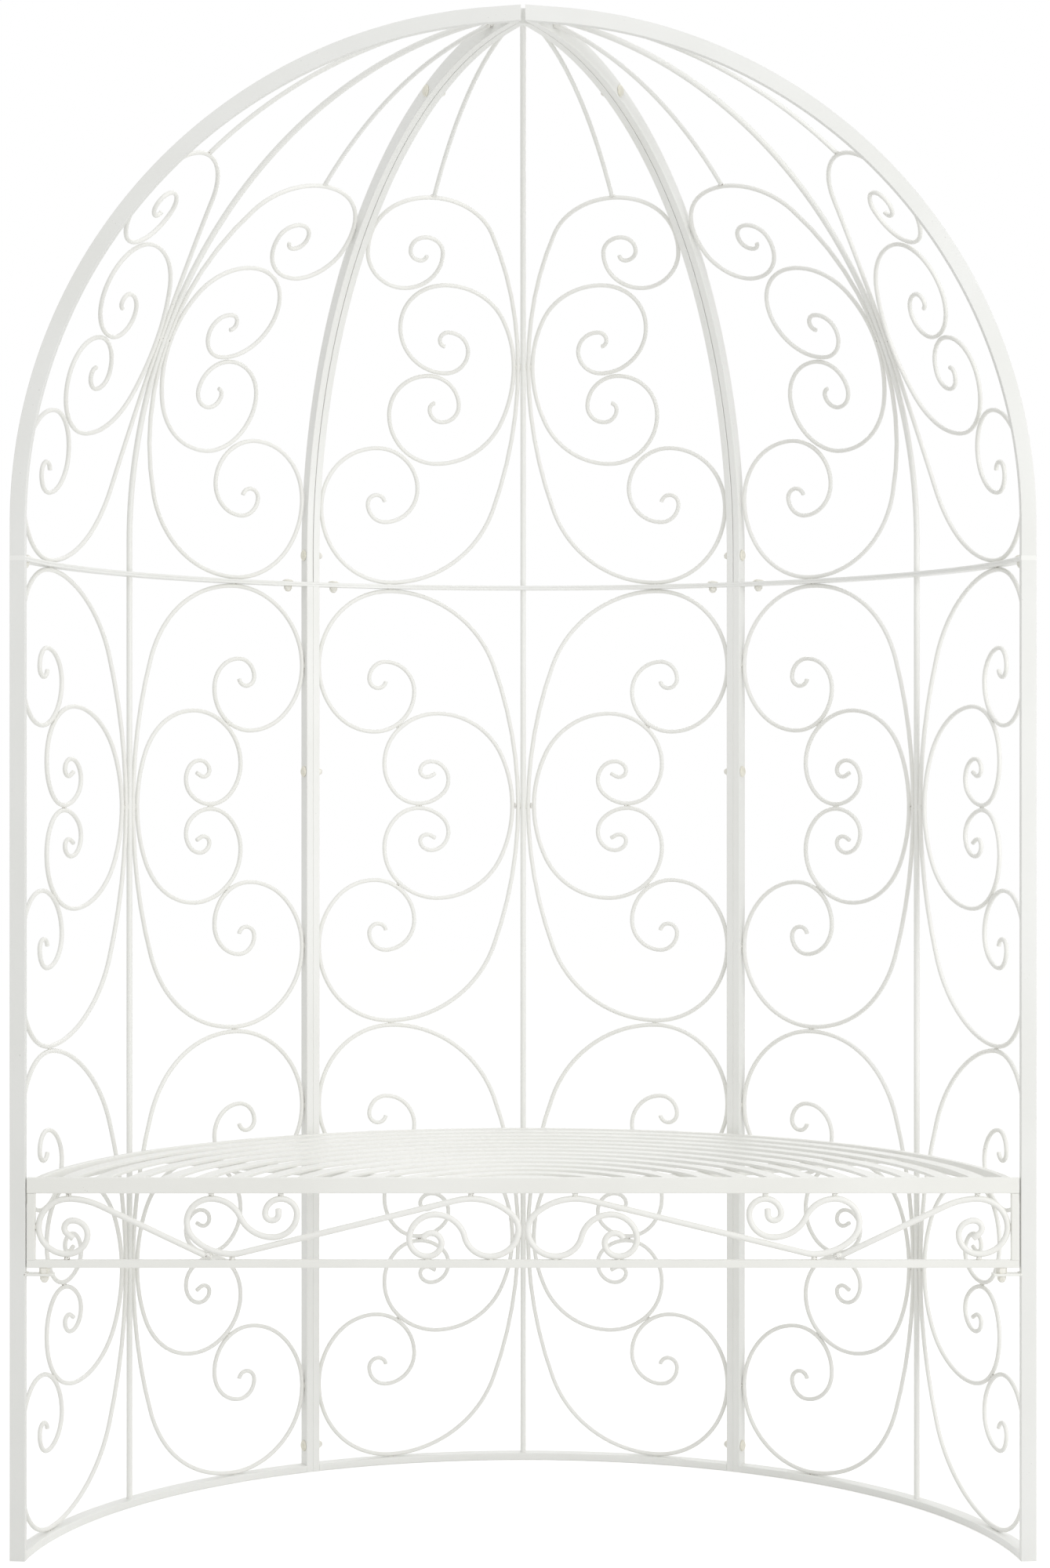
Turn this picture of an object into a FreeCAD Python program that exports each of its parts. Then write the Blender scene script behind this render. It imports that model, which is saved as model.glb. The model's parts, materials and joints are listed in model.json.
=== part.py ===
import FreeCAD, Part
import math
import os
import Sketcher
from FreeCAD import Placement, Rotation, Vector

# Garden arbour seat: three curved scrollwork panels, a dome of three gores on top of them,
# and a slatted seat with a scrollwork apron between the front posts.
# Millimetres. Drawn about the upright axis that every curve in plan shares, and written out
# with the origin on the ground, half way between that axis and the back.
# +X is the right-hand side as seen from the front, +Y points to the back, +Z is up.

SIZES = [
    ("ring_radius", 657.5, "outside radius of the panels in plan"),
    ("axis_offset", 57.5, "the axis stands this far in front of the front edge"),
    ("bar_depth", 20, "frame bars, measured towards the axis"),
    ("bar_width", 10, "frame bars, measured around the ring"),
    ("flat_thickness", 3, "flat bars on which the dome is bolted to the panels"),
    ("lower_height", 1280, "height of the lower panels"),
    ("bottom_rail_height", 10, "bottom rail of a lower panel"),
    ("rod_diameter", 8, "upright rod in the middle of each panel and gore"),
    ("wire_size", 6, "scroll wire"),
    ("weld_gap", 0.3, "between a scroll and what it is welded to"),
    ("wire_sag", 2, "how far the flats of a bent wire may leave the true arc"),
    ("dome_straight", 45, "upright foot of a dome rib, from the joint"),
    ("dome_radius", 645, "outside radius of a dome rib"),
    ("peak_angle", 3, "slope in degrees at which the ribs reach the peak of a round dome"),
    ("apex_gap", 7, "gap between the side gores at the peak"),
    ("seat_height", 489, "top of the seat"),
    ("seat_rail_height", 20, "front rail and curved rail of the seat"),
    ("seat_rail_width", 10, "front rail and curved rail of the seat"),
    ("seat_clearance", 10.5, "curved rail to the panels"),
    ("seat_side_gap", 5.5, "ends of the front rail to the front posts"),
    ("slat_width", 20, "seat slats"),
    ("slat_gap", 22.5, "open gap between two slats"),
    ("slat_thickness", 4, "seat slats"),
    ("slat_sag", 1, "how far the flats of a bent slat may leave the true arc"),
    ("bearer_width", 10, "radial bearers under the slats"),
    ("apron_height", 115, "top of the seat to the underside of the apron"),
    ("apron_bar", 10, "lower rail and end bars of the apron"),
    ("apron_wire", 8, "scroll wire of the apron"),
    ("tab_length", 35, "seat tabs on the front posts"),
    ("tab_width", 16, "seat tabs on the front posts"),
    ("tab_thickness", 3, "seat tabs on the front posts"),
    ("spacer_height", 7, "spacers between the apron and the tabs"),
    ("spacer_size", 12, "spacers across flats"),
    ("stud_inset", 18.5, "seat studs, from the ends of the front rail"),
    ("washer_size", 13, "washers under the cap nuts of the seat"),
    ("washer_thickness", 1.2, "washers under the cap nuts of the seat"),
    ("bolt_size", 6, "square neck of the carriage bolts"),
    ("bolt_fit", 0.2, "clearance all round a bolt in its hole"),
    ("head_size", 16, "bolt heads, across"),
    ("head_height", 4, "bolt heads"),
    ("nut_size", 10, "cap nuts across flats"),
    ("nut_height", 8, "cap nuts"),
    ("thread_grip", 5, "how far a bolt enters its nut"),
    ("low_bolt_height", 37, "lower bolts between panels, from the ground"),
    ("high_bolt_rise", 49.75, "upper bolts between panels, from the middle of the upper scrolls"),
    ("dome_bolt_low", 42, "lower bolts between gores, up the rib from the joint"),
    ("dome_bolt_high", 796, "upper bolts between gores, up the rib from the joint"),
    ("ring_bolt_inset", 26, "ring bolts, from the inner face of the next post"),
]
# Sizes that follow from the ones above
DERIVED = [
    ("half_angle", "=acos(axis_offset / ring_radius) / 3", "half of what a panel turns through"),
    ("panel_end", "=90 deg - half_angle", "slope of a panel's end plane in its own plan"),
    ("level", "=0 deg", "slope of the seat's front line in plan"),
    ("on_plane", "=0", "bars that reach the end plane"),
    ("ring_inner", "=ring_radius - bar_depth", "inner face of the panels"),
    ("stile_height", "=lower_height - flat_thickness", "the flat bar runs over the stiles"),
    ("rib_foot", "=lower_height + flat_thickness", "where the ribs start"),
    ("rib_bend", "=lower_height + dome_straight", "where the ribs start to bend"),
    ("rib_inner_radius", "=dome_radius - bar_depth", "inner edge of a rib"),
    ("crown_slope", "=max(peak_angle * 1 deg; asin((bar_depth - ring_radius + dome_radius)"
     " / rib_inner_radius))", "the same for a pointed dome too, whose arcs meet at the axis"),
    ("rod_height", "=stile_height - bottom_rail_height", "upright rod of a panel"),
    ("rod_radius", "=rod_diameter / 2", "upright rod of a panel"),
    ("seat_line", "=axis_offset + seat_rail_width", "back face of the seat's front rail"),
    ("rail_outer", "=ring_inner - seat_clearance", "outside of the seat's curved rail"),
    ("rail_inner", "=rail_outer - seat_rail_width", "inside of the seat's curved rail"),
    ("front_half", "=ring_inner * sin(3 * half_angle) - seat_side_gap", "half of the front rail"),
    ("front_length", "=2 * front_half", "front rail"),
    ("apron_bottom", "=seat_height - apron_height", "underside of the apron"),
    ("end_bar_height", "=apron_height - seat_rail_height - apron_bar", "end bars of the apron"),
    ("bearer_height", "=seat_rail_height - slat_thickness", "bearers end flush below"),
    ("plan_middle", "=ring_radius / 2", "the axis stands this far in front of the origin"),
]
SLATS = 12
REPEATS = 2

doc = FreeCAD.newDocument("arbour_seat")
sheet = doc.addObject("Spreadsheet::Sheet", "Sizes")
for row, (name, value, note) in enumerate(SIZES + DERIVED, start=1):
    sheet.set("A%d" % row, name)
    sheet.set("B%d" % row, str(value))
    sheet.set("C%d" % row, note)
    sheet.setAlias("B%d" % row, name)
doc.recompute()


def size(name):
    value = sheet.get(name)
    return float(getattr(value, "Value", value))


nodes = []


def keep(obj, label):
    obj.Label = label
    nodes.append(obj)
    return obj


def turn(azimuth):
    # turns +Y to an azimuth, clockwise as seen from above
    return Rotation(Vector(0, 0, 1), -azimuth)


# Plain bars

def box(name, sizes, corner, azimuth=0):
    obj = doc.addObject("Part::Box", name)
    for side, alias in zip(("Length", "Width", "Height"), sizes):
        obj.setExpression(side, "Sizes." + alias)
    spin = turn(azimuth)
    obj.Placement = Placement(spin.multVec(Vector(*corner)), spin)
    return obj


def cut(name, base, tools):
    obj = doc.addObject("Part::Cut", name)
    obj.Base = base
    if len(tools) > 1:
        group = doc.addObject("Part::Compound", name + "_tools")
        group.Links = tools
        obj.Tool = group
    else:
        obj.Tool = tools[0]
    return obj


def ring_bar(name, inner, outer, height, z, end_slope, end_offset, azimuth=0):
    # a bar bent round the axis: two arcs and two straight ends, kept off the end planes
    body = doc.addObject("PartDesign::Body", name)
    plan = body.newObject("Sketcher::SketchObject", name + "_plan")
    plan.AttachmentSupport = [(body.Origin.OriginFeatures[3], "")]
    plan.MapMode = "FlatFace"
    slope = math.radians(size(end_slope))
    off = size(end_offset)
    along = Vector(math.cos(slope), math.sin(slope), 0)
    aside = Vector(-math.sin(slope), math.cos(slope), 0)
    right = [aside * off + along * math.sqrt(r * r - off * off) for r, _ in (inner, outer)]
    left = [Vector(-p.x, p.y, 0) for p in right]
    for (r, _), p in zip((inner, outer), right):
        start = math.atan2(p.y, p.x)
        circle = Part.Circle(Vector(), Vector(0, 0, 1), r)
        plan.addGeometry(Part.ArcOfCircle(circle, start, math.pi - start), False)
    plan.addGeometry(Part.LineSegment(right[0], right[1]), False)
    plan.addGeometry(Part.LineSegment(left[0], left[1]), False)
    for arc, (r, formula) in enumerate((inner, outer)):
        plan.addConstraint(Sketcher.Constraint("Coincident", arc, 3, -1, 1))
        plan.addConstraint(Sketcher.Constraint("Coincident", 2, arc + 1, arc, 1))
        plan.addConstraint(Sketcher.Constraint("Coincident", 3, arc + 1, arc, 2))
        bound(plan, Sketcher.Constraint("Radius", arc, r), formula)
    for line, angle, formula in (
        (2, slope, "Sizes.%s" % end_slope),
        (3, math.pi - slope, "180 deg - Sizes.%s" % end_slope),
    ):
        bound(plan, Sketcher.Constraint("Angle", line, angle), formula)
        if off > 0:
            bound(plan, Sketcher.Constraint("Distance", -1, 1, line, off), "Sizes." + end_offset)
        else:
            plan.addConstraint(Sketcher.Constraint("PointOnObject", -1, 1, line))
    pad = body.newObject("PartDesign::Pad", name + "_pad")
    pad.Profile = plan
    pad.setExpression("Length", "Sizes." + height)
    body.Tip = pad
    body.Placement = Placement(Vector(0, 0, z), turn(azimuth))
    return body


def bound(sketch, constraint, formula):
    index = sketch.addConstraint(constraint)
    sketch.setExpression("Constraints[%d]" % index, formula)


def radius(alias):
    return size(alias), "Sizes." + alias


# Bolts: a carriage bolt has a round head and a square neck in a square hole, and a cap nut

def along_bolt(shape, start, direction, upright):
    # carries a shape drawn along +Z from the origin to its place, one flat side to `upright`
    z = Vector(direction).normalize()
    x = Vector(upright).normalize()
    y = z.cross(x)
    matrix = FreeCAD.Matrix(x.x, y.x, z.x, start.x, x.y, y.y, z.y, start.y,
                            x.z, y.z, z.z, start.z, 0, 0, 0, 1)
    copy = shape.copy()
    copy.Placement = Placement(matrix)
    return copy


def prism(sides, across, height, z=0.0):
    reach = across / 2 / math.cos(math.pi / sides)
    step = 2 * math.pi / sides
    ring = [Vector(reach * math.cos(step * (i + 0.5)), reach * math.sin(step * (i + 0.5)), z)
            for i in range(sides)]
    return Part.Face(Part.makePolygon(ring + ring[:1])).extrude(Vector(0, 0, height))


def square(side, height, z=0.0):
    return Part.makeBox(side, side, height, Vector(-side / 2, -side / 2, z))


def bolt(grip):
    neck = square(size("bolt_size"), grip + size("thread_grip"))
    head = prism(8, size("head_size"), size("head_height"), -size("head_height"))
    return head.fuse(neck).removeSplitter()


def cap_nut(grip):
    nut = prism(6, size("nut_size"), size("nut_height"), grip)
    fit = size("bolt_fit")
    hole = square(size("bolt_size") + 2 * fit, size("thread_grip") + fit, grip)
    return nut.cut(hole)


def hole(grip):
    return square(size("bolt_size") + 2 * size("bolt_fit"), grip + 2, -1)


def polar(azimuth, r, z, aside=0.0):
    return turn(azimuth).multVec(Vector(aside, r, z))


def meridian(t, inset, form):
    # distance from the axis and height of a point t up the dome, inset from its outer face
    ring, dome, foot, slope = form
    r = dome - inset
    if t <= foot:
        return ring - inset, t
    angle = min((t - foot) / r, math.pi / 2 - slope)
    rest = t - foot - r * angle
    return (ring - dome + r * math.cos(angle) - rest * math.cos(slope),
            foot + r * math.sin(angle) + rest * math.sin(slope))


mid = size("bar_depth") / 2
width = size("bar_width")
half = size("half_angle")
joint = size("lower_height")
FORM = (size("ring_radius"), size("dome_radius"), size("dome_straight"),
        math.radians(size("crown_slope")))
UP = Vector(0, 0, 1)
PANELS = (("left", -2), ("back", 0), ("right", 2))

repeat = size("rod_height") / REPEATS
high_bolt = size("bottom_rail_height") + repeat * (REPEATS - 0.5) + size("high_bolt_rise")
seam_places = []
for side in (-1, 1):
    # heads on the side panels, nuts on the back panel
    start = side * width
    across = turn(side * half).multVec(Vector(-side, 0, 0))
    for z in (size("low_bolt_height"), high_bolt):
        spot = polar(side * half, size("ring_radius") - mid, z, start)
        seam_places.append((spot, across, UP, 2 * width))
    for t in (size("dome_bolt_low"), size("dome_bolt_high")):
        rho, z = meridian(t, mid, FORM)
        lean = (t - size("dome_straight")) / (size("dome_radius") - mid)
        tilt = turn(side * half).multVec(Vector(0, math.cos(lean), math.sin(lean)))
        seam_places.append((polar(side * half, rho, joint + z, start), across, tilt, 2 * width))
ring_places = []
panel_radius = size("ring_radius") - mid
reach = half - math.degrees((width + size("ring_bolt_inset")) / panel_radius)
for panel, step in PANELS:
    for side in (-1, 1):
        azimuth = step * half + side * reach
        spot = polar(azimuth, panel_radius, size("rib_foot"))
        ring_places.append((spot, -UP, polar(azimuth, 1, 0), 2 * size("flat_thickness")))

# the seat hangs from the back panel's stiles at the rear and stands on two tabs in front
rear_places = []
rear_height = size("seat_height") - size("seat_rail_height") / 2
rear_grip = (size("bar_depth") + size("seat_clearance") + size("seat_rail_width")
             + size("bolt_fit"))
for side in (-1, 1):
    spot = polar(side * half, size("ring_radius"), rear_height, -side * width / 2)
    rear_places.append((spot, -polar(side * half, 1, 0), UP, rear_grip))
stud_places = []
stud_grip = size("spacer_height") + size("tab_thickness") + size("washer_thickness")
for side in (-1, 1):
    spot = Vector(side * (size("front_half") - size("stud_inset")),
                  size("axis_offset") + size("apron_bar") / 2, size("apron_bottom"))
    stud_places.append((spot, -UP, Vector(1, 0, 0), stud_grip))


def group(label, places, maker):
    obj = doc.addObject("Part::Feature", label)
    obj.Shape = Part.makeCompound([
        along_bolt(maker(grip), spot, way, facing) for spot, way, facing, grip in places])
    return obj


# Lower panels and dome gores: stiles, rails, ribs and rods

def rib(name, side, azimuth):
    # drawn in the seam plane: upright foot, arc, straight slope to the axis; then mitred
    body = doc.addObject("PartDesign::Body", name)
    plan = body.newObject("Sketcher::SketchObject", name + "_outline")
    plan.AttachmentSupport = [(body.Origin.OriginFeatures[5], "")]
    plan.MapMode = "FlatFace"
    slope = math.radians(size("crown_slope"))
    end = math.pi / 2 - slope
    centre = Vector(size("ring_radius") - size("dome_radius"), size("rib_bend"), 0)
    foot = size("rib_foot")
    edge = []
    for r in (size("dome_radius"), size("rib_inner_radius")):
        knee = centre + Vector(r * math.cos(end), r * math.sin(end), 0)
        edge.append((Vector(centre.x + r, foot, 0), Vector(centre.x + r, centre.y, 0), knee,
                     Vector(0, knee.y + knee.x * math.tan(slope), 0)))
    outer, inner = edge
    line, arc = Part.LineSegment, Part.ArcOfCircle
    plan.addGeometry([
        line(inner[0], outer[0]),
        line(outer[0], outer[1]),
        arc(Part.Circle(centre, Vector(0, 0, 1), size("dome_radius")), 0, end),
        line(outer[2], outer[3]),
        line(outer[3], inner[3]),
        line(inner[3], inner[2]),
        arc(Part.Circle(centre, Vector(0, 0, 1), size("rib_inner_radius")), 0, end),
        line(inner[1], inner[0]),
    ], False)
    joins = ((0, 2, 1, 1), (3, 2, 4, 1), (4, 2, 5, 1), (7, 2, 0, 1), (2, 3, 6, 3))
    for join in joins:
        plan.addConstraint(Sketcher.Constraint("Coincident", *join))
    for join in ((1, 2, 2, 1), (2, 2, 3, 1), (5, 2, 6, 2), (6, 1, 7, 1)):
        plan.addConstraint(Sketcher.Constraint("Tangent", *join))
    plan.addConstraint(Sketcher.Constraint("Horizontal", 0))
    for upright in (1, 4, 7):
        plan.addConstraint(Sketcher.Constraint("Vertical", upright))
    plan.addConstraint(Sketcher.Constraint("PointOnObject", 3, 2, -2))
    bound(plan, Sketcher.Constraint("Radius", 2, size("dome_radius")), "Sizes.dome_radius")
    bound(plan, Sketcher.Constraint("Radius", 6, size("rib_inner_radius")),
          "Sizes.rib_inner_radius")
    bound(plan, Sketcher.Constraint("DistanceX", -1, 1, 1, 1, size("ring_radius")),
          "Sizes.ring_radius")
    bound(plan, Sketcher.Constraint("DistanceY", -1, 1, 1, 1, foot), "Sizes.rib_foot")
    bound(plan, Sketcher.Constraint("DistanceY", -1, 1, 1, 2, centre.y), "Sizes.rib_bend")
    bound(plan, Sketcher.Constraint("Angle", 3, math.pi - slope), "180 deg - Sizes.crown_slope")
    pad = body.newObject("PartDesign::Pad", name + "_pad")
    pad.Profile = plan
    pad.setExpression("Length", "Sizes.bar_width")
    pad.Reversed = side > 0

    mitre = body.newObject("Sketcher::SketchObject", name + "_mitre")
    mitre.AttachmentSupport = [(body.Origin.OriginFeatures[3], "")]
    mitre.MapMode = "FlatFace"
    reach = 2 * size("bar_width")
    run = reach / math.tan(math.radians(size("half_angle")))
    far = Vector(-side * reach, run, 0)
    mitre.addGeometry([line(Vector(), far), line(far, Vector(far.x, 0, 0)),
                       line(Vector(far.x, 0, 0), Vector())], False)
    for join in ((0, 1, -1, 1), (0, 2, 1, 1), (1, 2, 2, 1), (2, 2, 0, 1)):
        mitre.addConstraint(Sketcher.Constraint("Coincident", *join))
    mitre.addConstraint(Sketcher.Constraint("Vertical", 1))
    mitre.addConstraint(Sketcher.Constraint("Horizontal", 2))
    bound(mitre, Sketcher.Constraint("DistanceY", -1, 1, 0, 2, run),
          "2 * Sizes.bar_width / tan(Sizes.half_angle)")
    angle = math.pi / 2 + side * math.radians(size("half_angle"))
    bound(mitre, Sketcher.Constraint("Angle", 0, angle),
          "90 deg + %d * Sizes.half_angle" % side)
    pocket = body.newObject("PartDesign::Pocket", name + "_mitred")
    pocket.Profile = mitre
    pocket.Type = "ThroughAll"
    pocket.Midplane = True
    body.Tip = pocket
    body.Placement = Placement(Vector(), turn(azimuth))
    return body


seam_holes = group("seam_holes", seam_places, hole)
ring_holes = group("ring_holes", ring_places, hole)
rear_holes = group("rear_holes", rear_places, hole)
peak_gap = doc.addObject("Part::Box", "peak_gap")
peak_gap.setExpression("Length", "Sizes.apex_gap")
peak_gap.setExpression("Width", "2 * Sizes.ring_radius")
peak_gap.setExpression("Height", "2 * Sizes.dome_radius")
peak_gap.Placement.Base = Vector(-size("apex_gap") / 2, -size("ring_radius"), size("rib_foot"))

for panel, step in PANELS:
    centre = step * half
    for side, word in ((-1, "left"), (1, "right")):
        azimuth = centre + side * half
        shared = abs(azimuth) < 1.5 * half
        corner = (-width if side > 0 else 0, size("ring_inner"), 0)
        label = "%s_panel_%s_stile" % (panel, word)
        stile = box(label + "_bar", ("bar_width", "bar_depth", "stile_height"), corner, azimuth)
        tools = [seam_holes] + ([rear_holes] if panel == "back" else [])
        keep(cut(label, stile, tools) if shared else stile, label)

        label = "%s_gore_%s_rib" % (panel, word)
        piece = rib(label + "_bar", side, azimuth)
        tools = ([peak_gap] if panel != "back" else []) + ([seam_holes] if shared else [])
        keep(cut(label, piece, tools), label)

    label = panel + "_panel_bottom_rail"
    keep(ring_bar(label, radius("ring_inner"), radius("ring_radius"), "bottom_rail_height", 0,
                  "panel_end", "bar_width", centre), label)
    for label, z in ((panel + "_panel_top_flat", size("stile_height")),
                     (panel + "_gore_bottom_flat", size("lower_height"))):
        plate = ring_bar(label + "_bar", radius("ring_inner"), radius("ring_radius"),
                         "flat_thickness", z, "panel_end", "on_plane", centre)
        keep(cut(label, plate, [ring_holes]), label)

    label = panel + "_panel_centre_rod"
    upright = doc.addObject("Part::Cylinder", label)
    upright.setExpression("Radius", "Sizes.rod_radius")
    upright.setExpression("Height", "Sizes.rod_height")
    upright.Placement.Base = polar(centre, panel_radius, size("bottom_rail_height"))
    keep(upright, label)

# Scrollwork

def flats(r, degrees, sag):
    # number of straight flats that stand for an arc, few on a tight curl
    step = min(2 * math.degrees(math.acos(r / (r + sag))), 45)
    return max(1, round(degrees / step))


def bend(start, heading, arcs, sag=size("wire_sag")):
    # corner points of a wire bent through arcs, each (radius, degrees); plus turns left;
    # a radius of None makes the second number a straight length
    x, y = start
    angle = math.radians(heading)
    points = [(x, y)]
    for r, amount in arcs:
        if r is None:
            x, y = x + amount * math.cos(angle), y + amount * math.sin(angle)
            continue
        count = flats(r, abs(amount), sag)
        step = math.radians(amount) / count
        tangent = r * math.tan(abs(step) / 2)
        for _ in range(count):
            x, y = x + tangent * math.cos(angle), y + tangent * math.sin(angle)
            points.append((x, y))
            angle += step
            x, y = x + tangent * math.cos(angle), y + tangent * math.sin(angle)
    points.append((x, y))
    return points


def quarter(dx, dy, first):
    # radii of two arcs, `first` degrees and the rest of 90, that reach dx aside and dy ahead
    c, s = math.cos(math.radians(first)), math.sin(math.radians(first))
    det = (1 - c) * (1 - s) - c * s
    return ((1 - s) * dx - c * dy) / det, ((1 - c) * dy - s * dx) / det


def half_c(back, top, first, curls, tail=0.0):
    # half of a C scroll, from its back up over the top and into its curl
    r1, r2 = quarter(back[0] - top[0], top[1] - back[1], first)
    arcs = [(r1, first), (r2, 90 - first)] + [(r, 90) for r in curls[:-1]] + [(curls[-1], 80)]
    if tail:
        arcs.append((None, tail))
    return bend(back, 90, arcs)


def whole_c(upper, lower, middle):
    # joins two halves; the lower one is drawn upwards too and is turned over here
    flipped = [(u, 2 * middle - v) for u, v in reversed(lower[1:])]
    return flipped + upper[1:]


def sweep(points, normal, across, thick=None, sides=4):
    # carries a regular or flat section along straight lengths with mitred corners
    along = (points[1] - points[0]).normalize()
    aside = normal.cross(along).normalize()
    facing = along.cross(aside) * ((thick or across) / across)
    reach = across / 2 / math.cos(math.pi / sides)
    corners = []
    for i in range(sides):
        a = 2 * math.pi * (i + 0.5) / sides
        corners.append(points[0] + (aside * math.cos(a) + facing * math.sin(a)) * reach)
    section = Part.makePolygon(corners + corners[:1])
    return Part.makePolygon(points).makePipeShell([section], True, False, 1)


wire = size("wire_size")
w = wire / 2
rod_reach = size("rod_radius")

# The C scrolls of a panel are drawn for a field 300 wide and 313 high on each side of the rod
FIELD_WIDTH, FIELD_HEIGHT, FIELD_BACK = 300.0, 313.0, 7.0
gap = size("weld_gap")
field_back = rod_reach + w + gap
field_left = math.radians(half) * panel_radius - width - w - gap
stretch = (field_left - field_back) / FIELD_WIDTH
rise = (repeat / 2 - w - gap) / FIELD_HEIGHT
weld = (w + gap) / min(stretch, rise)

# two bent wires that touch stand this much further apart, since their corners reach past the arcs
BULGE = 2.5

r3 = 0.37 * FIELD_WIDTH
big_top = (-(FIELD_BACK + FIELD_WIDTH - r3), FIELD_HEIGHT)
big_curls = [r3 * k for k in (1, 0.847, 0.505, 0.387, 0.225, 0.122, 0.108)]
big_half = half_c((-FIELD_BACK, 0), big_top, 20, big_curls)
# the small scroll touches the big one's curl, and its own two curls touch each other
curl_x = big_top[0] - big_curls[0] + big_curls[1]
curl_z = FIELD_HEIGHT - big_curls[0] - big_curls[1] + big_curls[2]
small_top = (-125.0, 133.0)
k = curl_z - small_top[1]
d = abs(curl_x - small_top[0])
m = big_curls[2] + 2 * weld + BULGE
s3 = (d * d + k * k - m * m) / (2 * (m - k))
small_half = half_c((-FIELD_BACK - 2 * weld, 0), small_top, 25,
                    [s3, small_top[1] - s3 - weld, 38, 22, 14, 9], 12)


def on_panel(point, centre):
    u = -(field_back + (-point[0] - FIELD_BACK) * stretch)
    a = u / panel_radius
    return Vector(panel_radius * math.sin(a), panel_radius * math.cos(a),
                  centre + point[1] * rise)


def pair(points, normal):
    # the wire and its twin on the other side of the rod
    piece = sweep(points, normal, wire)
    return [piece, piece.mirror(Vector(), Vector(1, 0, 0))]


def scrolls(label, pieces, azimuth):
    obj = doc.addObject("Part::Feature", label)
    obj.Shape = Part.makeCompound(pieces)
    obj.Placement = Placement(Vector(), turn(azimuth))
    keep(obj, label)


lower = {"big": [], "small": []}
for n in range(REPEATS):
    centre = size("bottom_rail_height") + repeat * (n + 0.5)
    for kind, halfway in (("big", big_half), ("small", small_half)):
        path = [on_panel(p, centre) for p in whole_c(halfway, halfway, 0)]
        lower[kind] += pair(path, Vector(path[0].x, path[0].y, 0))

# The gore's scrolls are drawn as the dome unrolls, sideways from the rod and up from the joint,
# for the sizes below; the drawing follows the rod, the ribs and the flat bar when those change
DRAWN = (657.5, 645.0, 45.0, math.radians(3))
DRAWN_HALF, DRAWN_BAR, DRAWN_DEPTH = math.radians(28.33), 10.0, 20.0
DRAWN_BACK, DRAWN_SIDE, DRAWN_LOW = 7.3, 3.3, 6.3


def rib_run(form, inset):
    ring, dome, foot, slope = form
    r = dome - inset
    end = math.pi / 2 - slope
    return foot + r * end + (ring - dome + r * math.cos(end)) / math.cos(slope)


def room(t, form, half_turn, bar, inset):
    # from the rod's centre line to the inner face of a rib, at t up the dome
    rho = meridian(t, inset, form)[0]
    return rho * (half_turn - math.asin(bar / rho))


dome_low = size("flat_thickness") + w + gap
climb = (rib_run(FORM, mid) - dome_low) / (rib_run(DRAWN, DRAWN_DEPTH / 2) - DRAWN_LOW)


def widen(t):
    # how far up the dome a point t of the drawing comes, and how much wider the field is there
    up = dome_low + (t - DRAWN_LOW) * climb
    now = room(up, FORM, math.radians(half), width, mid) - field_back - w - gap
    drawn = room(t, DRAWN, DRAWN_HALF, DRAWN_BAR, DRAWN_DEPTH / 2) - DRAWN_BACK - DRAWN_SIDE
    return up, now / drawn


def on_dome(point):
    up, wider = widen(point[1])
    u = -(field_back + (-point[0] - DRAWN_BACK) * wider)
    rho, z = meridian(up, mid, FORM)
    return Vector(rho * math.sin(u / rho), rho * math.cos(u / rho), joint + z)


middle = 326.0
kiss = 312.5
crown_place = (-126, 593)
# half a wire and a weld, in the drawing
near = (w + gap) / min(climb, *[widen(t)[1] for t in (DRAWN_LOW, middle, crown_place[1])])
small_back = -DRAWN_BACK - 2 * near + gap
turn_back = near * 0.7


def contact(top, curl, curl_radius):
    # radius of the small scroll's second arc, so that it touches the big scroll's curl
    k, d, m = abs(curl[1] - top[1]), abs(curl[0] - top[0]), curl_radius + 2 * near + BULGE
    return (d * d + k * k - m * m) / (2 * (m - k))


big_up = half_c((-DRAWN_BACK, middle), crown_place, 20, [99.5, 51, 60, 23, 24, 14, 10])
big_down = half_c((-DRAWN_BACK, middle), (-198, 2 * middle - DRAWN_LOW), 20,
                  [105, 90, 57, 50, 25, 14, 12])
s3 = contact((-109, 449.8), (-174.5, 502.5), 60)
small_up = half_c((small_back, middle), (-109, 449.8), 25,
                  [s3, 449.8 - s3 - kiss - turn_back, 34, 28, 13, 9])
s3 = contact((-129, 181), (-213, 144.3), 57)
small_down = half_c((small_back, middle), (-129, 2 * middle - 181), 25,
                    [s3, kiss - turn_back - 181 - s3, 43, 25, 18, 10])
gore = {}
for kind, upper, under in (("big", big_up, big_down), ("small", small_up, small_down)):
    path = [on_dome(p) for p in whole_c(upper, under, middle)]
    gore[kind] = pair(path, Vector(path[0].x, path[0].y, path[0].z - size("rib_bend")))


def up_dome(azimuth, start, end_radius, across, sides):
    # a rod that follows the dome from t = start to a distance from the axis
    ring, dome, foot, slope = FORM
    r = dome - mid
    rho, z = meridian(start, mid, FORM)
    first = max(0.0, (start - foot) / r)
    knee = ring - dome + r * math.sin(slope)
    last = min(math.acos(max(0.0, (end_radius - ring + dome) / r)), math.pi / 2 - slope)
    arcs = [(None, foot - start)] if start < foot else []
    arcs.append((r, math.degrees(last - first)))
    if end_radius < knee:
        arcs.append((None, (knee - end_radius) / math.cos(slope)))
    path = [polar(azimuth, x, joint + y) for x, y in bend((rho, z), 90 + math.degrees(first), arcs)]
    return sweep(path, turn(azimuth).multVec(Vector(1, 0, 0)), across, None, sides)


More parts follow.
